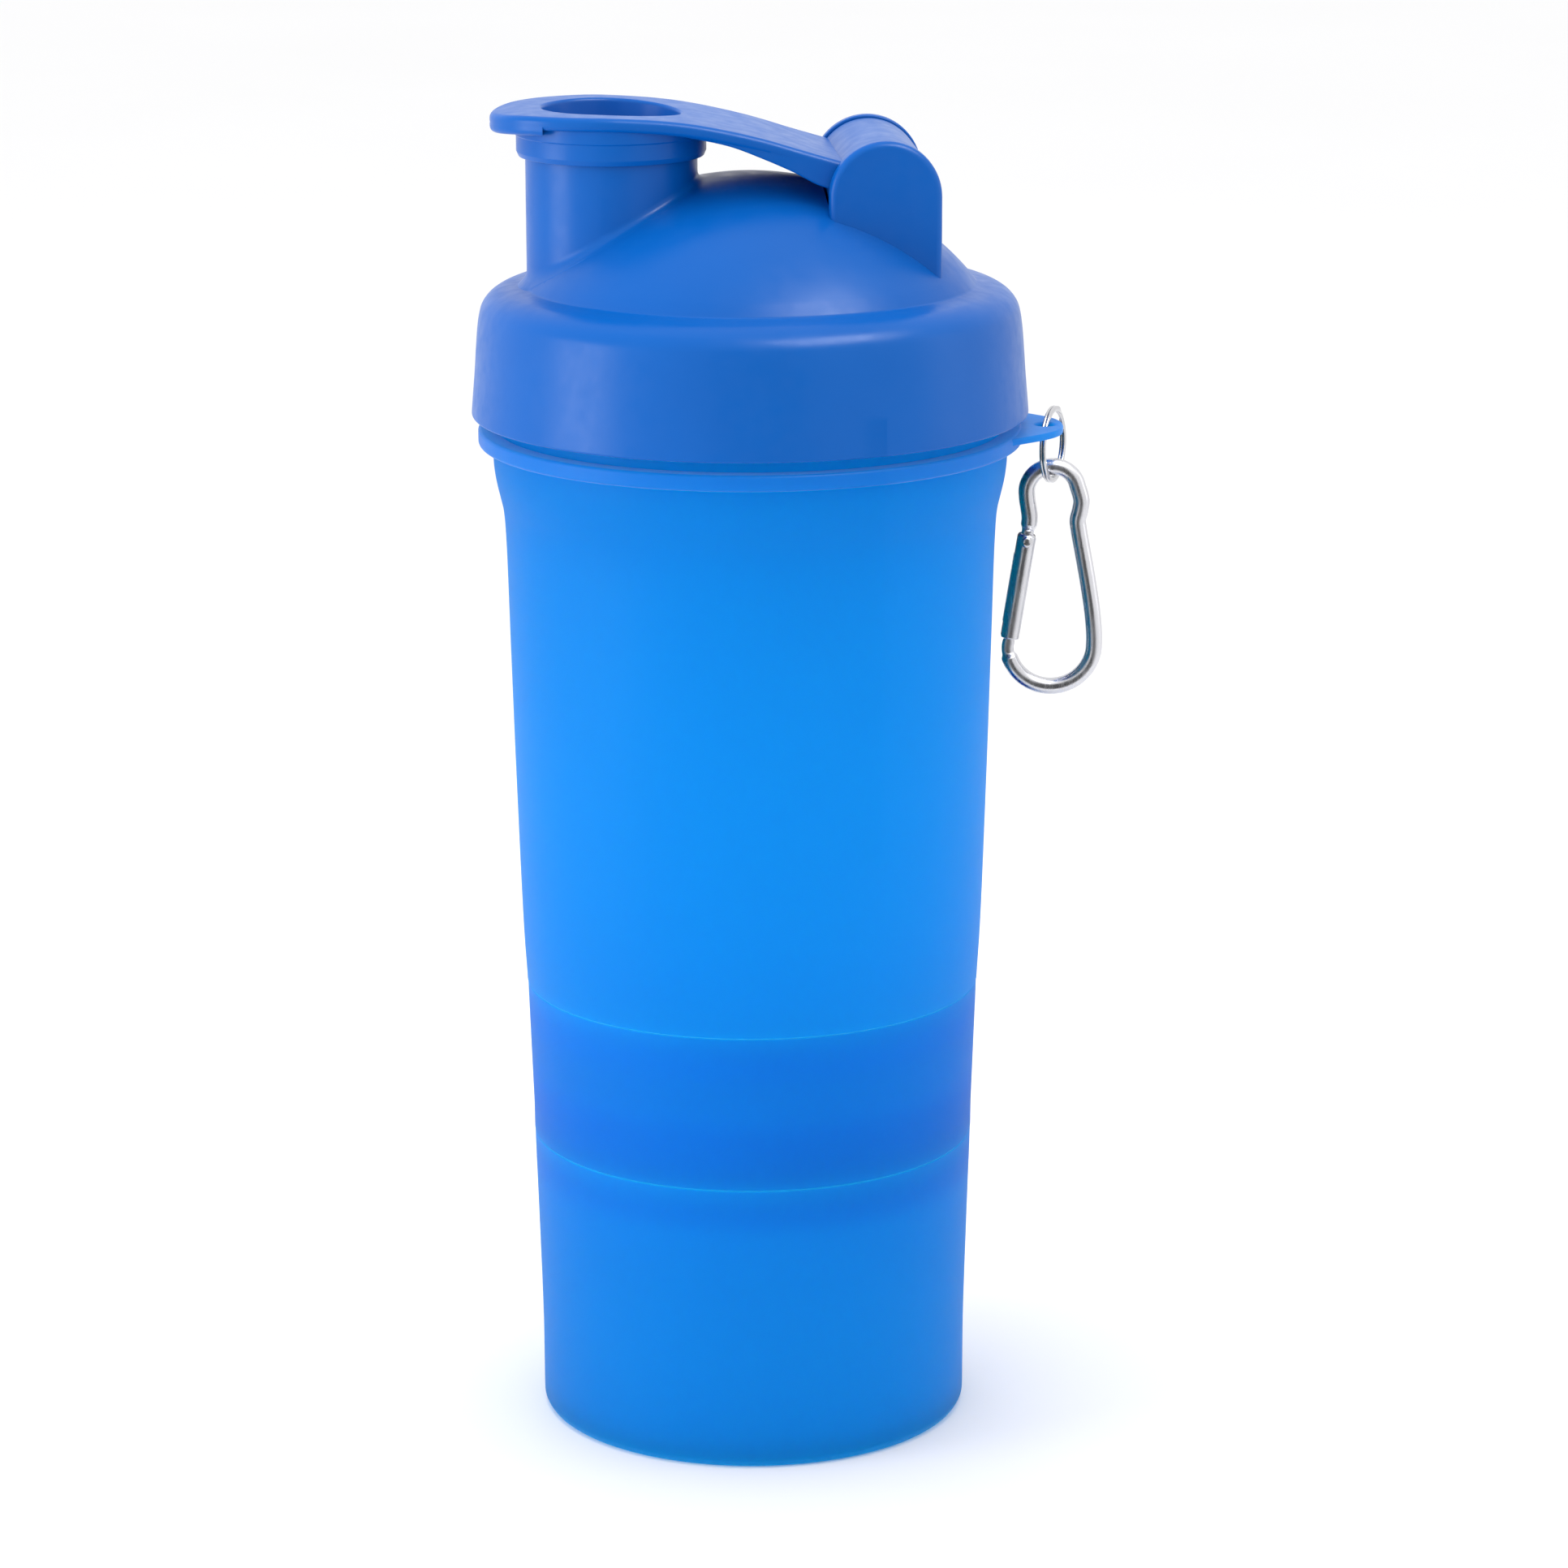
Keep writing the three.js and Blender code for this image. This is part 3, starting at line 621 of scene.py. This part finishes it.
SHOULDER = curve_through([
    (40.7, 206.2), (42.0, 205.95), (43.4, 205.6), (44.8, 204.95), (46.05, 203.95), (46.95, 202.6),
    (47.42, 200.9), (47.74, 198.6), (48.04, 195), (48.35, 190.6), (48.75, 186), (48.89, SKIRT_BOTTOM + 0.8),
])


def lid_surface(radius):
    """The height of the lid's outside at a distance from the bottle's axis."""
    if radius <= DOME_FOOT_RADIUS:
        return DOME_CENTRE + math.sqrt(DOME_RADIUS ** 2 - radius ** 2)
    return height_on([Vector((DOME_FOOT_RADIUS, DOME_FOOT))] + SHOULDER, radius)


def spout_solid():
    """The spout as a solid bar, with a fillet where it meets the dome."""
    bm = bmesh.new()
    around = AROUND
    reach = SPOUT_RADIUS + SPOUT_FILLET
    rings = [[] for _ in range(16)]
    foot = bm.verts.new((SPOUT_X, 0, 198))
    for i in range(around):
        angle = 2 * math.pi * i / around
        way = Vector((math.cos(angle), math.sin(angle), 0))

        def ground(distance):
            spot = Vector((SPOUT_X, 0, 0)) + way * distance
            return lid_surface(spot.length)

        line = [(SPOUT_RADIUS - 2, 198), (reach + 0.5, ground(reach + 0.5) - 0.8)]
        start = Vector((reach, ground(reach) + 0.004))
        corner = Vector((SPOUT_RADIUS, ground(SPOUT_RADIUS)))
        end = Vector((SPOUT_RADIUS, ground(SPOUT_RADIUS) + SPOUT_FILLET))
        for k in range(9):
            share = k / 8
            line.append(start.lerp(corner, share).lerp(corner.lerp(end, share), share))
        line.append((SPOUT_RADIUS, SPOUT_TOP - 0.7))
        for k in range(1, 5):
            turn = math.pi / 2 * k / 4
            line.append((SPOUT_RADIUS - 0.7 + 0.7 * math.cos(turn), SPOUT_TOP - 0.7 + 0.7 * math.sin(turn)))
        for ring, (distance, z) in zip(rings, line):
            spot = Vector((SPOUT_X, 0, z)) + way * distance
            ring.append(bm.verts.new(spot))
    top = bm.verts.new((SPOUT_X, 0, SPOUT_TOP))
    skin(bm, [[foot], *rings, [top]])
    return finished(bm)


def ear(side):
    foot = DOME_FOOT - 2
    steps = 40
    outline = [(HINGE_X + EAR_RADIUS, foot)]
    for i in range(steps + 1):
        angle = math.pi * i / steps
        outline.append((HINGE_X + EAR_RADIUS * math.cos(angle), HINGE_Z + EAR_RADIUS * math.sin(angle)))
    outline.append((HINGE_X - EAR_RADIUS, foot))
    low, high = sorted((side * EAR_INSIDE, side * EAR_FACE))
    inner, outer = 0.35, 1.15
    fillets = (inner, outer) if side > 0 else (outer, inner)
    return slab(outline, low, high, fillets[0], across="y", fillet_high=fillets[1])


def make_lid():
    outer = [(0, SKIRT_BOTTOM), (SKIRT_RADIUS, SKIRT_BOTTOM, 0.5)]
    outside = soften([*outer, (48.89, SKIRT_BOTTOM + 0.8)])[:-1] + SHOULDER[::-1]
    crease = soften([(40.7, 206.2), (DOME_FOOT_RADIUS + 0.05, DOME_FOOT - 0.15, 0.9), (38.5, lid_surface(38.5))])
    dome = [point for point in dome_arc(DOME_RADIUS, DOME_FOOT_RADIUS, 60) if point.x < 38.4]
    body = turned([*outside, *crease[1:-1], *dome])
    below = SKIRT_BOTTOM - 1
    face = RIM_TOP + GASKET_SPACE
    plug = 196.3
    hollow = turned(soften([
        (0, below), (SKIRT_INSIDE + 0.5, below), (SKIRT_INSIDE + 0.5, SKIRT_BOTTOM), (SKIRT_INSIDE, SKIRT_BOTTOM + 0.5),
        (46.1, 200, 6), (45.4, face, 1.2), (PLUG_OUTSIDE, face, 0.4), (PLUG_OUTSIDE, plug, 0.45),
        (PLUG_INSIDE, plug, 0.4), (PLUG_INSIDE, 204.4, 1), (38.4, 204.5, 0.6),
    ]) + dome_arc(DOME_RADIUS - DOME_WALL, 37.6))
    hollow = cut(hollow, crossbar(EAR_RADIUS + SHELL, HINGE_X, HINGE_Z, EAR_FACE - 0.6, 1.0))
    body = united(body, spout_solid(), ear(-1), ear(1))
    recess = crossbar(EAR_RADIUS, HINGE_X, HINGE_Z, EAR_INSIDE, 0.2)
    sockets = crossbar(PIN_RADIUS + GAP, HINGE_X, HINGE_Z, PIN_REACH + GAP)
    bore = turned(soften([
        (0, SKIRT_BOTTOM + 9), (SPOUT_BORE, SKIRT_BOTTOM + 9), (SPOUT_BORE, SPOUT_TOP - 0.5, 0.8),
        (SPOUT_BORE + 0.8, SPOUT_TOP + 0.3), (SPOUT_BORE + 0.8, SPOUT_TOP + 2), (0, SPOUT_TOP + 2),
    ]), x=SPOUT_X)
    ridge = thread(SKIRT_INSIDE - 0.2, NECK_RADIUS + 0.6, LID_LEAD, 1.1, 187, 1.8)
    piece("lid_shell", "lid", united(cut(body, hollow, recess, sockets, bore), ridge), smooth=32)


def make_lid_gasket():
    low = RIM_TOP + GAP
    high = RIM_TOP + GASKET_SPACE - GAP
    inside = PLUG_OUTSIDE + GAP
    corner = 0.3
    piece("lid_gasket_ring", "lid_gasket", turned(soften([
        (inside, low, corner), (44.8, low, corner), (44.8, high, corner), (inside, high, corner),
    ], closed=True), closed=True))


def make_strainer():
    low = STRAINER_LOW
    face = low + STRAINER_PLATE
    high = low + 6.4
    rim = PLUG_INSIDE - GAP
    rim_inside = rim - STRAINER_PLATE
    plate = turned(soften([
        (0, low), (rim, low, 0.7), (rim, high, 0.4), (rim_inside, high, 0.4), (rim_inside, face, 1.2), (0, face),
    ]))
    bar = 3.2
    slots = []
    for radius, count in ((11, 6), (20.5, 10), (30, 14)):
        half = math.pi * radius / count - bar / 2
        corners = [
            (radius - 3.2, -half, 1.2), (radius + 3.2, -half, 1.2), (radius + 3.2, half, 1.2), (radius - 3.2, half, 1.2),
        ]
        for i in range(count):
            slot = slab(soften(corners, closed=True), low - 1, face + 1)
            slots.append(moved(slot, Matrix.Rotation(2 * math.pi * i / count, 4, "Z")))
    piece("strainer_grid", "strainer", cut(plate, *slots))


# ---- the flip cap ----

CAP_TOP = curve_through([
    (SPOUT_X - CAP_NOSE, 236.6), (-40.5, 237.2), (-32, 237.4), (SPOUT_X, 237.3), (-12, 236.3), (0, 233.8),
    (9, 231.1), (15.5, 229.2), (20.5, 227.8),
], 10)


def cap_plate():
    """The cap's plate: a rounded nose, straight sides that taper to the hinge, and rounded edges."""
    fillet = 1.0
    half_line = []
    nose_steps = 36
    for i in range(nose_steps + 1):
        angle = math.pi - math.pi / 2 * i / nose_steps
        half_line.append(Vector((SPOUT_X + CAP_NOSE * math.cos(angle), CAP_HALF_WIDTH * math.sin(angle))))
    arm_steps = 30
    arm_start = 8
    arm_end = 20
    for i in range(1, arm_steps + 1):
        x = SPOUT_X + (arm_end - SPOUT_X) * i / arm_steps
        share = min(1, (x - SPOUT_X) / (arm_start - SPOUT_X))
        half_line.append(Vector((x, CAP_HALF_WIDTH + (BARREL_HALF - CAP_HALF_WIDTH) * share)))
    outward = []
    last = len(half_line) - 1
    for i in range(last + 1):
        along = half_line[min(i + 1, last)] - half_line[max(i - 1, 0)]
        normal = Vector((-along.y, along.x)).normalized()
        outward.append(Vector((-1, 0)) if i == 0 else normal)
    outward[last] = Vector((0, 1))
    levels = []
    for k in range(BEVEL_STEPS + 1):
        angle = math.pi / 2 * k / BEVEL_STEPS
        levels.append((fillet * (1 - math.sin(angle)), -fillet * (1 - math.cos(angle))))
    under = [(inset, -CAP_THICKNESS - drop) for inset, drop in reversed(levels)]
    bm = bmesh.new()
    rings = []
    for inset, drop in [*levels, *under]:
        upper = []
        lower = []
        for point, normal in zip(half_line, outward):
            spot = point - normal * inset
            z = height_on(CAP_TOP, spot.x) + drop
            upper.append(bm.verts.new((spot.x, spot.y, z)))
            if spot.y > 1e-6:
                lower.append(bm.verts.new((spot.x, -spot.y, z)))
        rings.append((upper, lower))
    strips = [list(reversed(lower)) + upper for upper, lower in rings]
    skin(bm, strips, closed_rings=False)
    for upper, lower in (rings[0], rings[-1]):
        bm.faces.new((upper[0], upper[1], lower[0]))
        for i in range(1, last):
            bm.faces.new((upper[i], upper[i + 1], lower[i], lower[i - 1]))
    open_edges = [edge for edge in bm.edges if len(edge.link_faces) == 1]
    bmesh.ops.holes_fill(bm, edges=open_edges)
    return finished(bm)


def cap_lip():
    """The deeper edge of the nose, to lift the cap by."""
    lowered = moved(cap_plate(), Matrix.Translation((0, 0, -CAP_LIP_DEPTH)))
    return cut(lowered, block(CAP_LIP_END, HINGE_X + 1, -20, 20, HINGE_Z, SPOUT_TOP + 8))


def cap_rib(side):
    """A rib under an edge of the arm, deepening toward the hinge."""
    lower = curve_through([(-12.6, 234.0), (-4.5, 232.2), (1, 230.1), (6.6, 227.6), (11, 225.3), (16, 224)])
    outline = [*lower, (16, 228), (0, 232.6), (-12.6, 235.5)]
    low, high = sorted((side * (BARREL_HALF - SHELL), side * BARREL_HALF))
    return slab(outline, low, high, 0.4, across="y")


def follow_cap(height):
    """Moves what is above a height with the plate's top."""
    middle = height_on(CAP_TOP, SPOUT_X)

    def shift(point):
        return height_on(CAP_TOP, point.x) - middle if point.z > height else 0.0

    return shift


def make_flip_cap():
    in_plate = 235.4
    top = height_on(CAP_TOP, SPOUT_X)
    collar = turned(soften([
        (15.45, 229.8), (15.85, 229.0, 0.2), (16.1, 229.0, 0.2), (16.5, 229.9, 0.3), (16.5, 232.6, 0.15),
        (16.75, 232.8, 0.15), (16.75, in_plate), (15.45, in_plate),
    ], closed=True), closed=True, x=SPOUT_X)
    plug = turned(soften([(0, 229.2), (12.7, 229.2, 0.8), (12.7, in_plate), (0, in_plate)]), x=SPOUT_X)
    lip = 0.75
    wall = 11.95
    lip_arc = [
        (wall + lip * (1 - math.cos(math.pi / 2 * k / 6)), top - lip + (lip + 0.04) * math.sin(math.pi / 2 * k / 6))
        for k in range(7)
    ]
    dimple = turned(soften([(0, 230.7), (11.1, 230.7, 1.2), (wall, top - lip)])[:-1] + [
        *lip_arc, (wall + lip + 1, top + 0.5), (wall + lip + 1, top + 4), (0, top + 4),
    ], x=SPOUT_X, warp=follow_cap(234))
    drum = crossbar(BARREL_RADIUS, HINGE_X, HINGE_Z, BARREL_HALF, 0.5)
    pins = crossbar(PIN_RADIUS, HINGE_X, HINGE_Z, PIN_REACH, 0.3)
    half = BARREL_HALF - SHELL
    bore = crossbar(BARREL_RADIUS - SHELL, HINGE_X, HINGE_Z, half, 0.5)
    opening = block(HINGE_X - 7.5, HINGE_X + 7.5, -half, half, HINGE_Z - BARREL_RADIUS - 1, HINGE_Z - 3)
    body = united(cap_plate(), cap_lip(), cap_rib(-1), cap_rib(1), drum, pins, collar, plug)
    piece("flip_cap_body", "flip_cap", cut(body, bore, opening, dimple), smooth=32)


# ---- the carry ring, the key ring and the carabiner ----

CARRY_TURN = Matrix.Rotation(RING_TURN, 4, "Z")


def make_carry_ring():
    band = turned(soften([
        (RING_INSIDE, RING_BOTTOM, 0.25), (RING_OUTSIDE, RING_BOTTOM, 0.6), (RING_OUTSIDE, RING_TOP, 0.6),
        (RING_INSIDE, RING_TOP, 0.25),
    ], closed=True), closed=True)
    side = curve_through([(44, 16), (47.6, 12.7), (51.0, 9.6), (53.6, 6.4), (54.8, 3.3), (55.1, 0)], 8)
    plan = [*side[:-1], *[Vector((point.x, -point.y)) for point in reversed(side)]]
    low = RING_TOP - 0.2 - TAB_THICKNESS
    tab = slab(plan, low, low + TAB_THICKNESS, 0.35)
    inner = turned([(0, low - 1), (RING_INSIDE + 0.4, low - 1), (RING_INSIDE + 0.4, RING_TOP + 1), (0, RING_TOP + 1)])
    middle = low + TAB_THICKNESS / 2
    hole = turned(soften([
        (0, low - 1), (TAB_HOLE_RADIUS + 0.6, low - 1), (TAB_HOLE_RADIUS + 0.6, low - 0.05),
        (TAB_HOLE_RADIUS, middle - 0.3, 0.3), (TAB_HOLE_RADIUS, middle + 0.3, 0.3),
        (TAB_HOLE_RADIUS + 0.6, low + TAB_THICKNESS + 0.05), (TAB_HOLE_RADIUS + 0.6, RING_TOP + 1), (0, RING_TOP + 1),
    ]), around=48, x=TAB_HOLE_X)
    ring = united(band, cut(tab, inner, hole))
    piece("carry_ring_band", "carry_ring", moved(ring, CARRY_TURN), finish="ring_blue")


def key_ring_centre():
    return Vector((
        TAB_HOLE_X + KEY_RING_OFFSET * math.cos(KEY_RING_TURN), KEY_RING_OFFSET * math.sin(KEY_RING_TURN), KEY_RING_Z,
    ))


def make_key_ring():
    """A split ring: two turns of flat wire, one against the other."""
    bm = bmesh.new()
    turns = 1.96
    steps = 176
    thick = KEY_WIRE / 2 - 0.01
    rings = []
    for i in range(steps + 1):
        share = i / steps
        angle = 2 * math.pi * turns * share + 0.9
        slide = min(1, max(0, (share - 0.42) / 0.16))
        layer = KEY_WIRE / 2 * (1 if slide >= 1 else -1 + 2 * slide * slide * (3 - 2 * slide))
        ring = []
        taper = min(1, 0.35 + 30 * min(share, 1 - share))
        for k in range(16):
            around = 2 * math.pi * k / 16
            across = math.copysign(abs(math.cos(around)) ** 0.6, math.cos(around)) * 0.5 * taper
            deep = math.copysign(abs(math.sin(around)) ** 0.6, math.sin(around)) * thick * taper
            radius = KEY_RING_RADIUS + across
            ring.append(bm.verts.new((radius * math.cos(angle), layer + deep, radius * math.sin(angle))))
        rings.append(ring)
    skin(bm, rings)
    bm.faces.new(rings[0])
    bm.faces.new(rings[-1])
    place = CARRY_TURN @ Matrix.Translation(key_ring_centre()) @ Matrix.Rotation(KEY_RING_TURN, 4, "Z")
    piece("key_ring_wire", "key_ring", moved(finished(bm), place), smooth=50)


# The carabiner lies in X and Z, hanging from the middle of its eye at (0, 0).
BOW_CENTRE = -CLIP_LENGTH + BOW_RADIUS
GATE_PIVOT = Vector((-4.55, 0, -13.3))
NOSE = Vector((-BOW_RADIUS + 0.05, 0, BOW_CENTRE - 0.9))
GATE_LEAN = math.atan2(GATE_PIVOT.x - NOSE.x, GATE_PIVOT.z - NOSE.z)
HANG = KEY_RING_Z - KEY_RING_RADIUS + KEY_WIRE + GAP + CLIP_WIRE


def clip_place():
    centre = key_ring_centre()
    return CARRY_TURN @ Matrix.Translation((centre.x, centre.y, HANG))


def gate_place():
    return clip_place() @ Matrix.Translation(GATE_PIVOT) @ Matrix.Rotation(GATE_LEAN, 4, "Y")


def along_gate(distance):
    """A point on the gate's line, at a distance below the pivot."""
    return GATE_PIVOT - Vector((math.sin(GATE_LEAN), 0, math.cos(GATE_LEAN))) * distance


def arc(z, radius, start, end, steps):
    points = []
    for i in range(steps + 1):
        angle = math.radians(start + (end - start) * i / steps)
        points.append(Vector((radius * math.cos(angle), 0, z + radius * math.sin(angle))))
    return points


def make_carabiner_body():
    nose_end = along_gate((NOSE - GATE_PIVOT).length - 2.6)
    limb = [(5.15, -6.2), (4.95, -7.9), (4.55, -9.7), (4.75, -11.5), (5.4, -15), (6.5, -21), (7.4, -27)]
    line = [
        along_gate(1.0), along_gate(-1.2), along_gate(-2.6), Vector((-4, 0, -9.2)),
        *arc(-EYE_RADIUS, EYE_RADIUS, 190, 10, 8), *[Vector((x, 0, z)) for x, z in limb],
        *arc(BOW_CENTRE, BOW_RADIUS, 4, -173, 9), nose_end,
    ]
    path = curve_through([(point.x, point.y, point.z) for point in line], 8)
    lengths = [0]
    for a, b in zip(path, path[1:]):
        lengths.append(lengths[-1] + (b - a).length)
    whole = lengths[-1]
    sizes = []
    for length in lengths:
        tongue = min(1, max(0, (length - 2.6) / 1.4))
        nose = min(1, max(0, (whole - length - 3.4) / 0.8))
        tip = min(1, max(0.05, math.sqrt(max(0, min(length, whole - length) / 1.1))))
        full = min(tongue, nose)
        full = full * full * (3 - 2 * full)
        wide = 1.1 + (CLIP_WIRE - 1.1) * full
        deep = TONGUE_THICKNESS / 2 + (CLIP_WIRE - TONGUE_THICKNESS / 2) * full
        sizes.append((wide * tip, deep if tip == 1 else deep * (0.8 + 0.2 * tip)))
    wire = swept(path, sizes)
    head_place = Matrix.Translation(nose_end) @ Matrix.Rotation(GATE_LEAN, 4, "Y")
    head = slab(soften([(-1.15, -0.4, 0.4), (1.15, -0.4, 0.4), (1.15, 0.8, 0.5), (-1.15, 0.8, 0.5)], closed=True),
                -TONGUE_THICKNESS / 2, TONGUE_THICKNESS / 2, 0.15, across="y")
    hole = crossbar(RIVET_HOLE, GATE_PIVOT.x, GATE_PIVOT.z, 3, around=32)
    body = cut(united(wire, moved(head, head_place)), hole)
    piece("carabiner_wire", "carabiner_body", moved(body, clip_place()))


def make_carabiner_gate():
    around = 48
    rod = turned(soften([
        (0, -GATE_LENGTH), (GATE_RADIUS, -GATE_LENGTH, 0.35), (GATE_RADIUS, 1.2, 0.7), (0, 1.2),
    ]), around=around)
    half = GATE_SLOT / 2
    channel = block(0.2, 3, -half, half, -GATE_LENGTH - 1, 2)
    upper = block(-3, 3, -half, half, -2.6, 2)
    lower = block(-3, 3, -half, half, -GATE_LENGTH - 1, -GATE_LENGTH + 3)
    hole = crossbar(RIVET_HOLE, 0, 0, 3, around=32)
    gate = cut(rod, channel, upper, lower, hole)
    piece("carabiner_gate_rod", "carabiner_gate", moved(gate, gate_place()), smooth=30)


def make_gate_rivet():
    half = GATE_RADIUS + 0.75
    head = GATE_RADIUS + GAP
    shank = 0.55
    side = [(0, -half), (0.55, -half + 0.04), (0.85, -half + 0.16), (1, -half + 0.35), (1, -head), (shank, -head)]
    profile = side + [(radius, -z) for radius, z in reversed(side)]
    rivet = turned(profile, around=40)
    place = gate_place() @ Matrix.Rotation(math.pi / 2, 4, "X")
    piece("gate_rivet_pin", "gate_rivet", moved(rivet, place), smooth=40)


def make_gate_spring():
    outline = [(0.5, -1.7), (0.9, -1.7), (1.1, -6), (0.9, -12), (0.5, -12), (0.7, -6)]
    spring = slab(outline, -0.4, 0.4, 0.06, across="y")
    piece("gate_spring_strip", "gate_spring", moved(spring, gate_place()))


# ---- the studio ----


def stage_material(name, colour):
    look = bpy.data.materials.new(name)
    look.use_nodes = True
    nodes = look.node_tree.nodes
    links = look.node_tree.links
    shader = nodes["Principled BSDF"]
    place = in_millimetres(nodes, links)
    light = tuple(min(1, part * 1.01) for part in colour)
    links.new(tinted(nodes, links, noise(nodes, links, place, 0.004, 2), colour, light), shader.inputs["Base Color"])
    shader.inputs["Roughness"].default_value = 0.9
    shader.inputs["Specular IOR Level"].default_value = 0.1
    return look


def make_floor():
    bm = bmesh.new()
    half = 6.0
    corners = [(-half, -half), (half, -half), (half, half), (-half, half)]
    bm.faces.new([bm.verts.new((x, y, 0)) for x, y in corners])
    mesh = bpy.data.meshes.new("floor")
    bm.to_mesh(mesh)
    bm.free()
    floor = bpy.data.objects.new("floor", mesh)
    floor.data.materials.append(stage_material("floor_white", (0.90, 0.90, 0.905)))
    bpy.context.collection.objects.link(floor)


def make_light(name, place, target, size, energy, diffuse=True, gloss=True):
    data = bpy.data.lights.new(name, "AREA")
    data.shape = "RECTANGLE"
    data.size, data.size_y = size
    data.energy = energy
    lamp = bpy.data.objects.new(name, data)
    lamp.location = place
    lamp.rotation_euler = (Vector(target) - Vector(place)).to_track_quat("-Z", "Y").to_euler()
    lamp.visible_diffuse = diffuse
    lamp.visible_glossy = gloss
    bpy.context.collection.objects.link(lamp)


def make_card(name, corners, grey):
    """A dark card that only mirror reflections see. It gives polished metal its dark cores."""
    bm = bmesh.new()
    bm.faces.new([bm.verts.new(corner) for corner in corners])
    mesh = bpy.data.meshes.new(name)
    bm.to_mesh(mesh)
    bm.free()
    card = bpy.data.objects.new(name, mesh)
    card.data.materials.append(stage_material(name + "_grey", (grey, grey, grey)))
    bpy.context.collection.objects.link(card)
    card.visible_camera = False
    card.visible_diffuse = False
    card.visible_transmission = False
    card.visible_shadow = False


def make_cards():
    half = 0.26
    near = -0.20
    far = -0.72
    top = 0.6
    make_card("front_card", [(-half, far, 0), (half, far, 0), (half, far, top), (-half, far, top)], 0.07)
    lying = 0.0004
    make_card("floor_card", [(-half, far, lying), (half, far, lying), (half, near, lying), (-half, near, lying)], 0.07)
    x, side, low, high = 0.02, 0.05, 0.11, 0.19
    make_card("side_card", [(x, -side, low), (x, side, low), (x, side, high), (x, -side, high)], 0.3)


def make_studio():
    make_floor()
    make_cards()
    world = bpy.data.worlds.new("studio")
    bpy.context.scene.world = world
    world.use_nodes = True
    background = world.node_tree.nodes["Background"]
    background.inputs["Color"].default_value = (1, 1, 1, 1)
    background.inputs["Strength"].default_value = 1.08
    middle = (0, 0, 0.12)
    make_light("top_box", (-0.05, 0.05, 0.9), (0, 0, 0.2), (0.5, 0.5), 2.6, gloss=False)
    make_light("highlight_box", (0.30, -0.30, 0.82), (0, 0, 0.2), (0.5, 0.3), 6.0, diffuse=False)
    make_light("left_box", (-0.85, -0.22, 0.22), middle, (0.40, 0.5), 3.4)
    make_light("right_box", (0.9, -0.1, 0.35), middle, (0.3, 0.6), 0.6)
    bpy.context.scene.view_settings.view_transform = "Standard"


def make_camera():
    """The photograph's viewpoint: 14.45 degrees above the horizon, a little left of the spout's side."""
    data = bpy.data.cameras.new("camera")
    data.sensor_width = 36
    data.lens = 121.12
    data.clip_start = 0.05
    data.clip_end = 30
    camera = bpy.data.objects.new("camera", data)
    camera.location = (-0.06283, -0.91322, 0.35153)
    level = Euler((math.radians(90 - 14.45), 0, math.radians(-4.3))).to_matrix()
    camera.rotation_euler = (level @ Matrix.Rotation(math.radians(-0.11), 3, "Z")).to_euler()
    bpy.context.collection.objects.link(camera)
    bpy.context.scene.camera = camera


make_bottom_compartment()
make_compartment_seal("lower_seal_ring", "lower_seal", LOWER_SEAM, LOWER_SPIGOT, LOWER_WALL)
make_middle_compartment()
make_pill_tray()
make_compartment_seal("upper_seal_ring", "upper_seal", UPPER_SEAM, UPPER_SPIGOT, UPPER_WALL)
make_cup()
make_lid()
make_lid_gasket()
make_strainer()
make_flip_cap()
make_carry_ring()
make_key_ring()
make_carabiner_body()
make_carabiner_gate()
make_gate_rivet()
make_gate_spring()
make_studio()
make_camera()
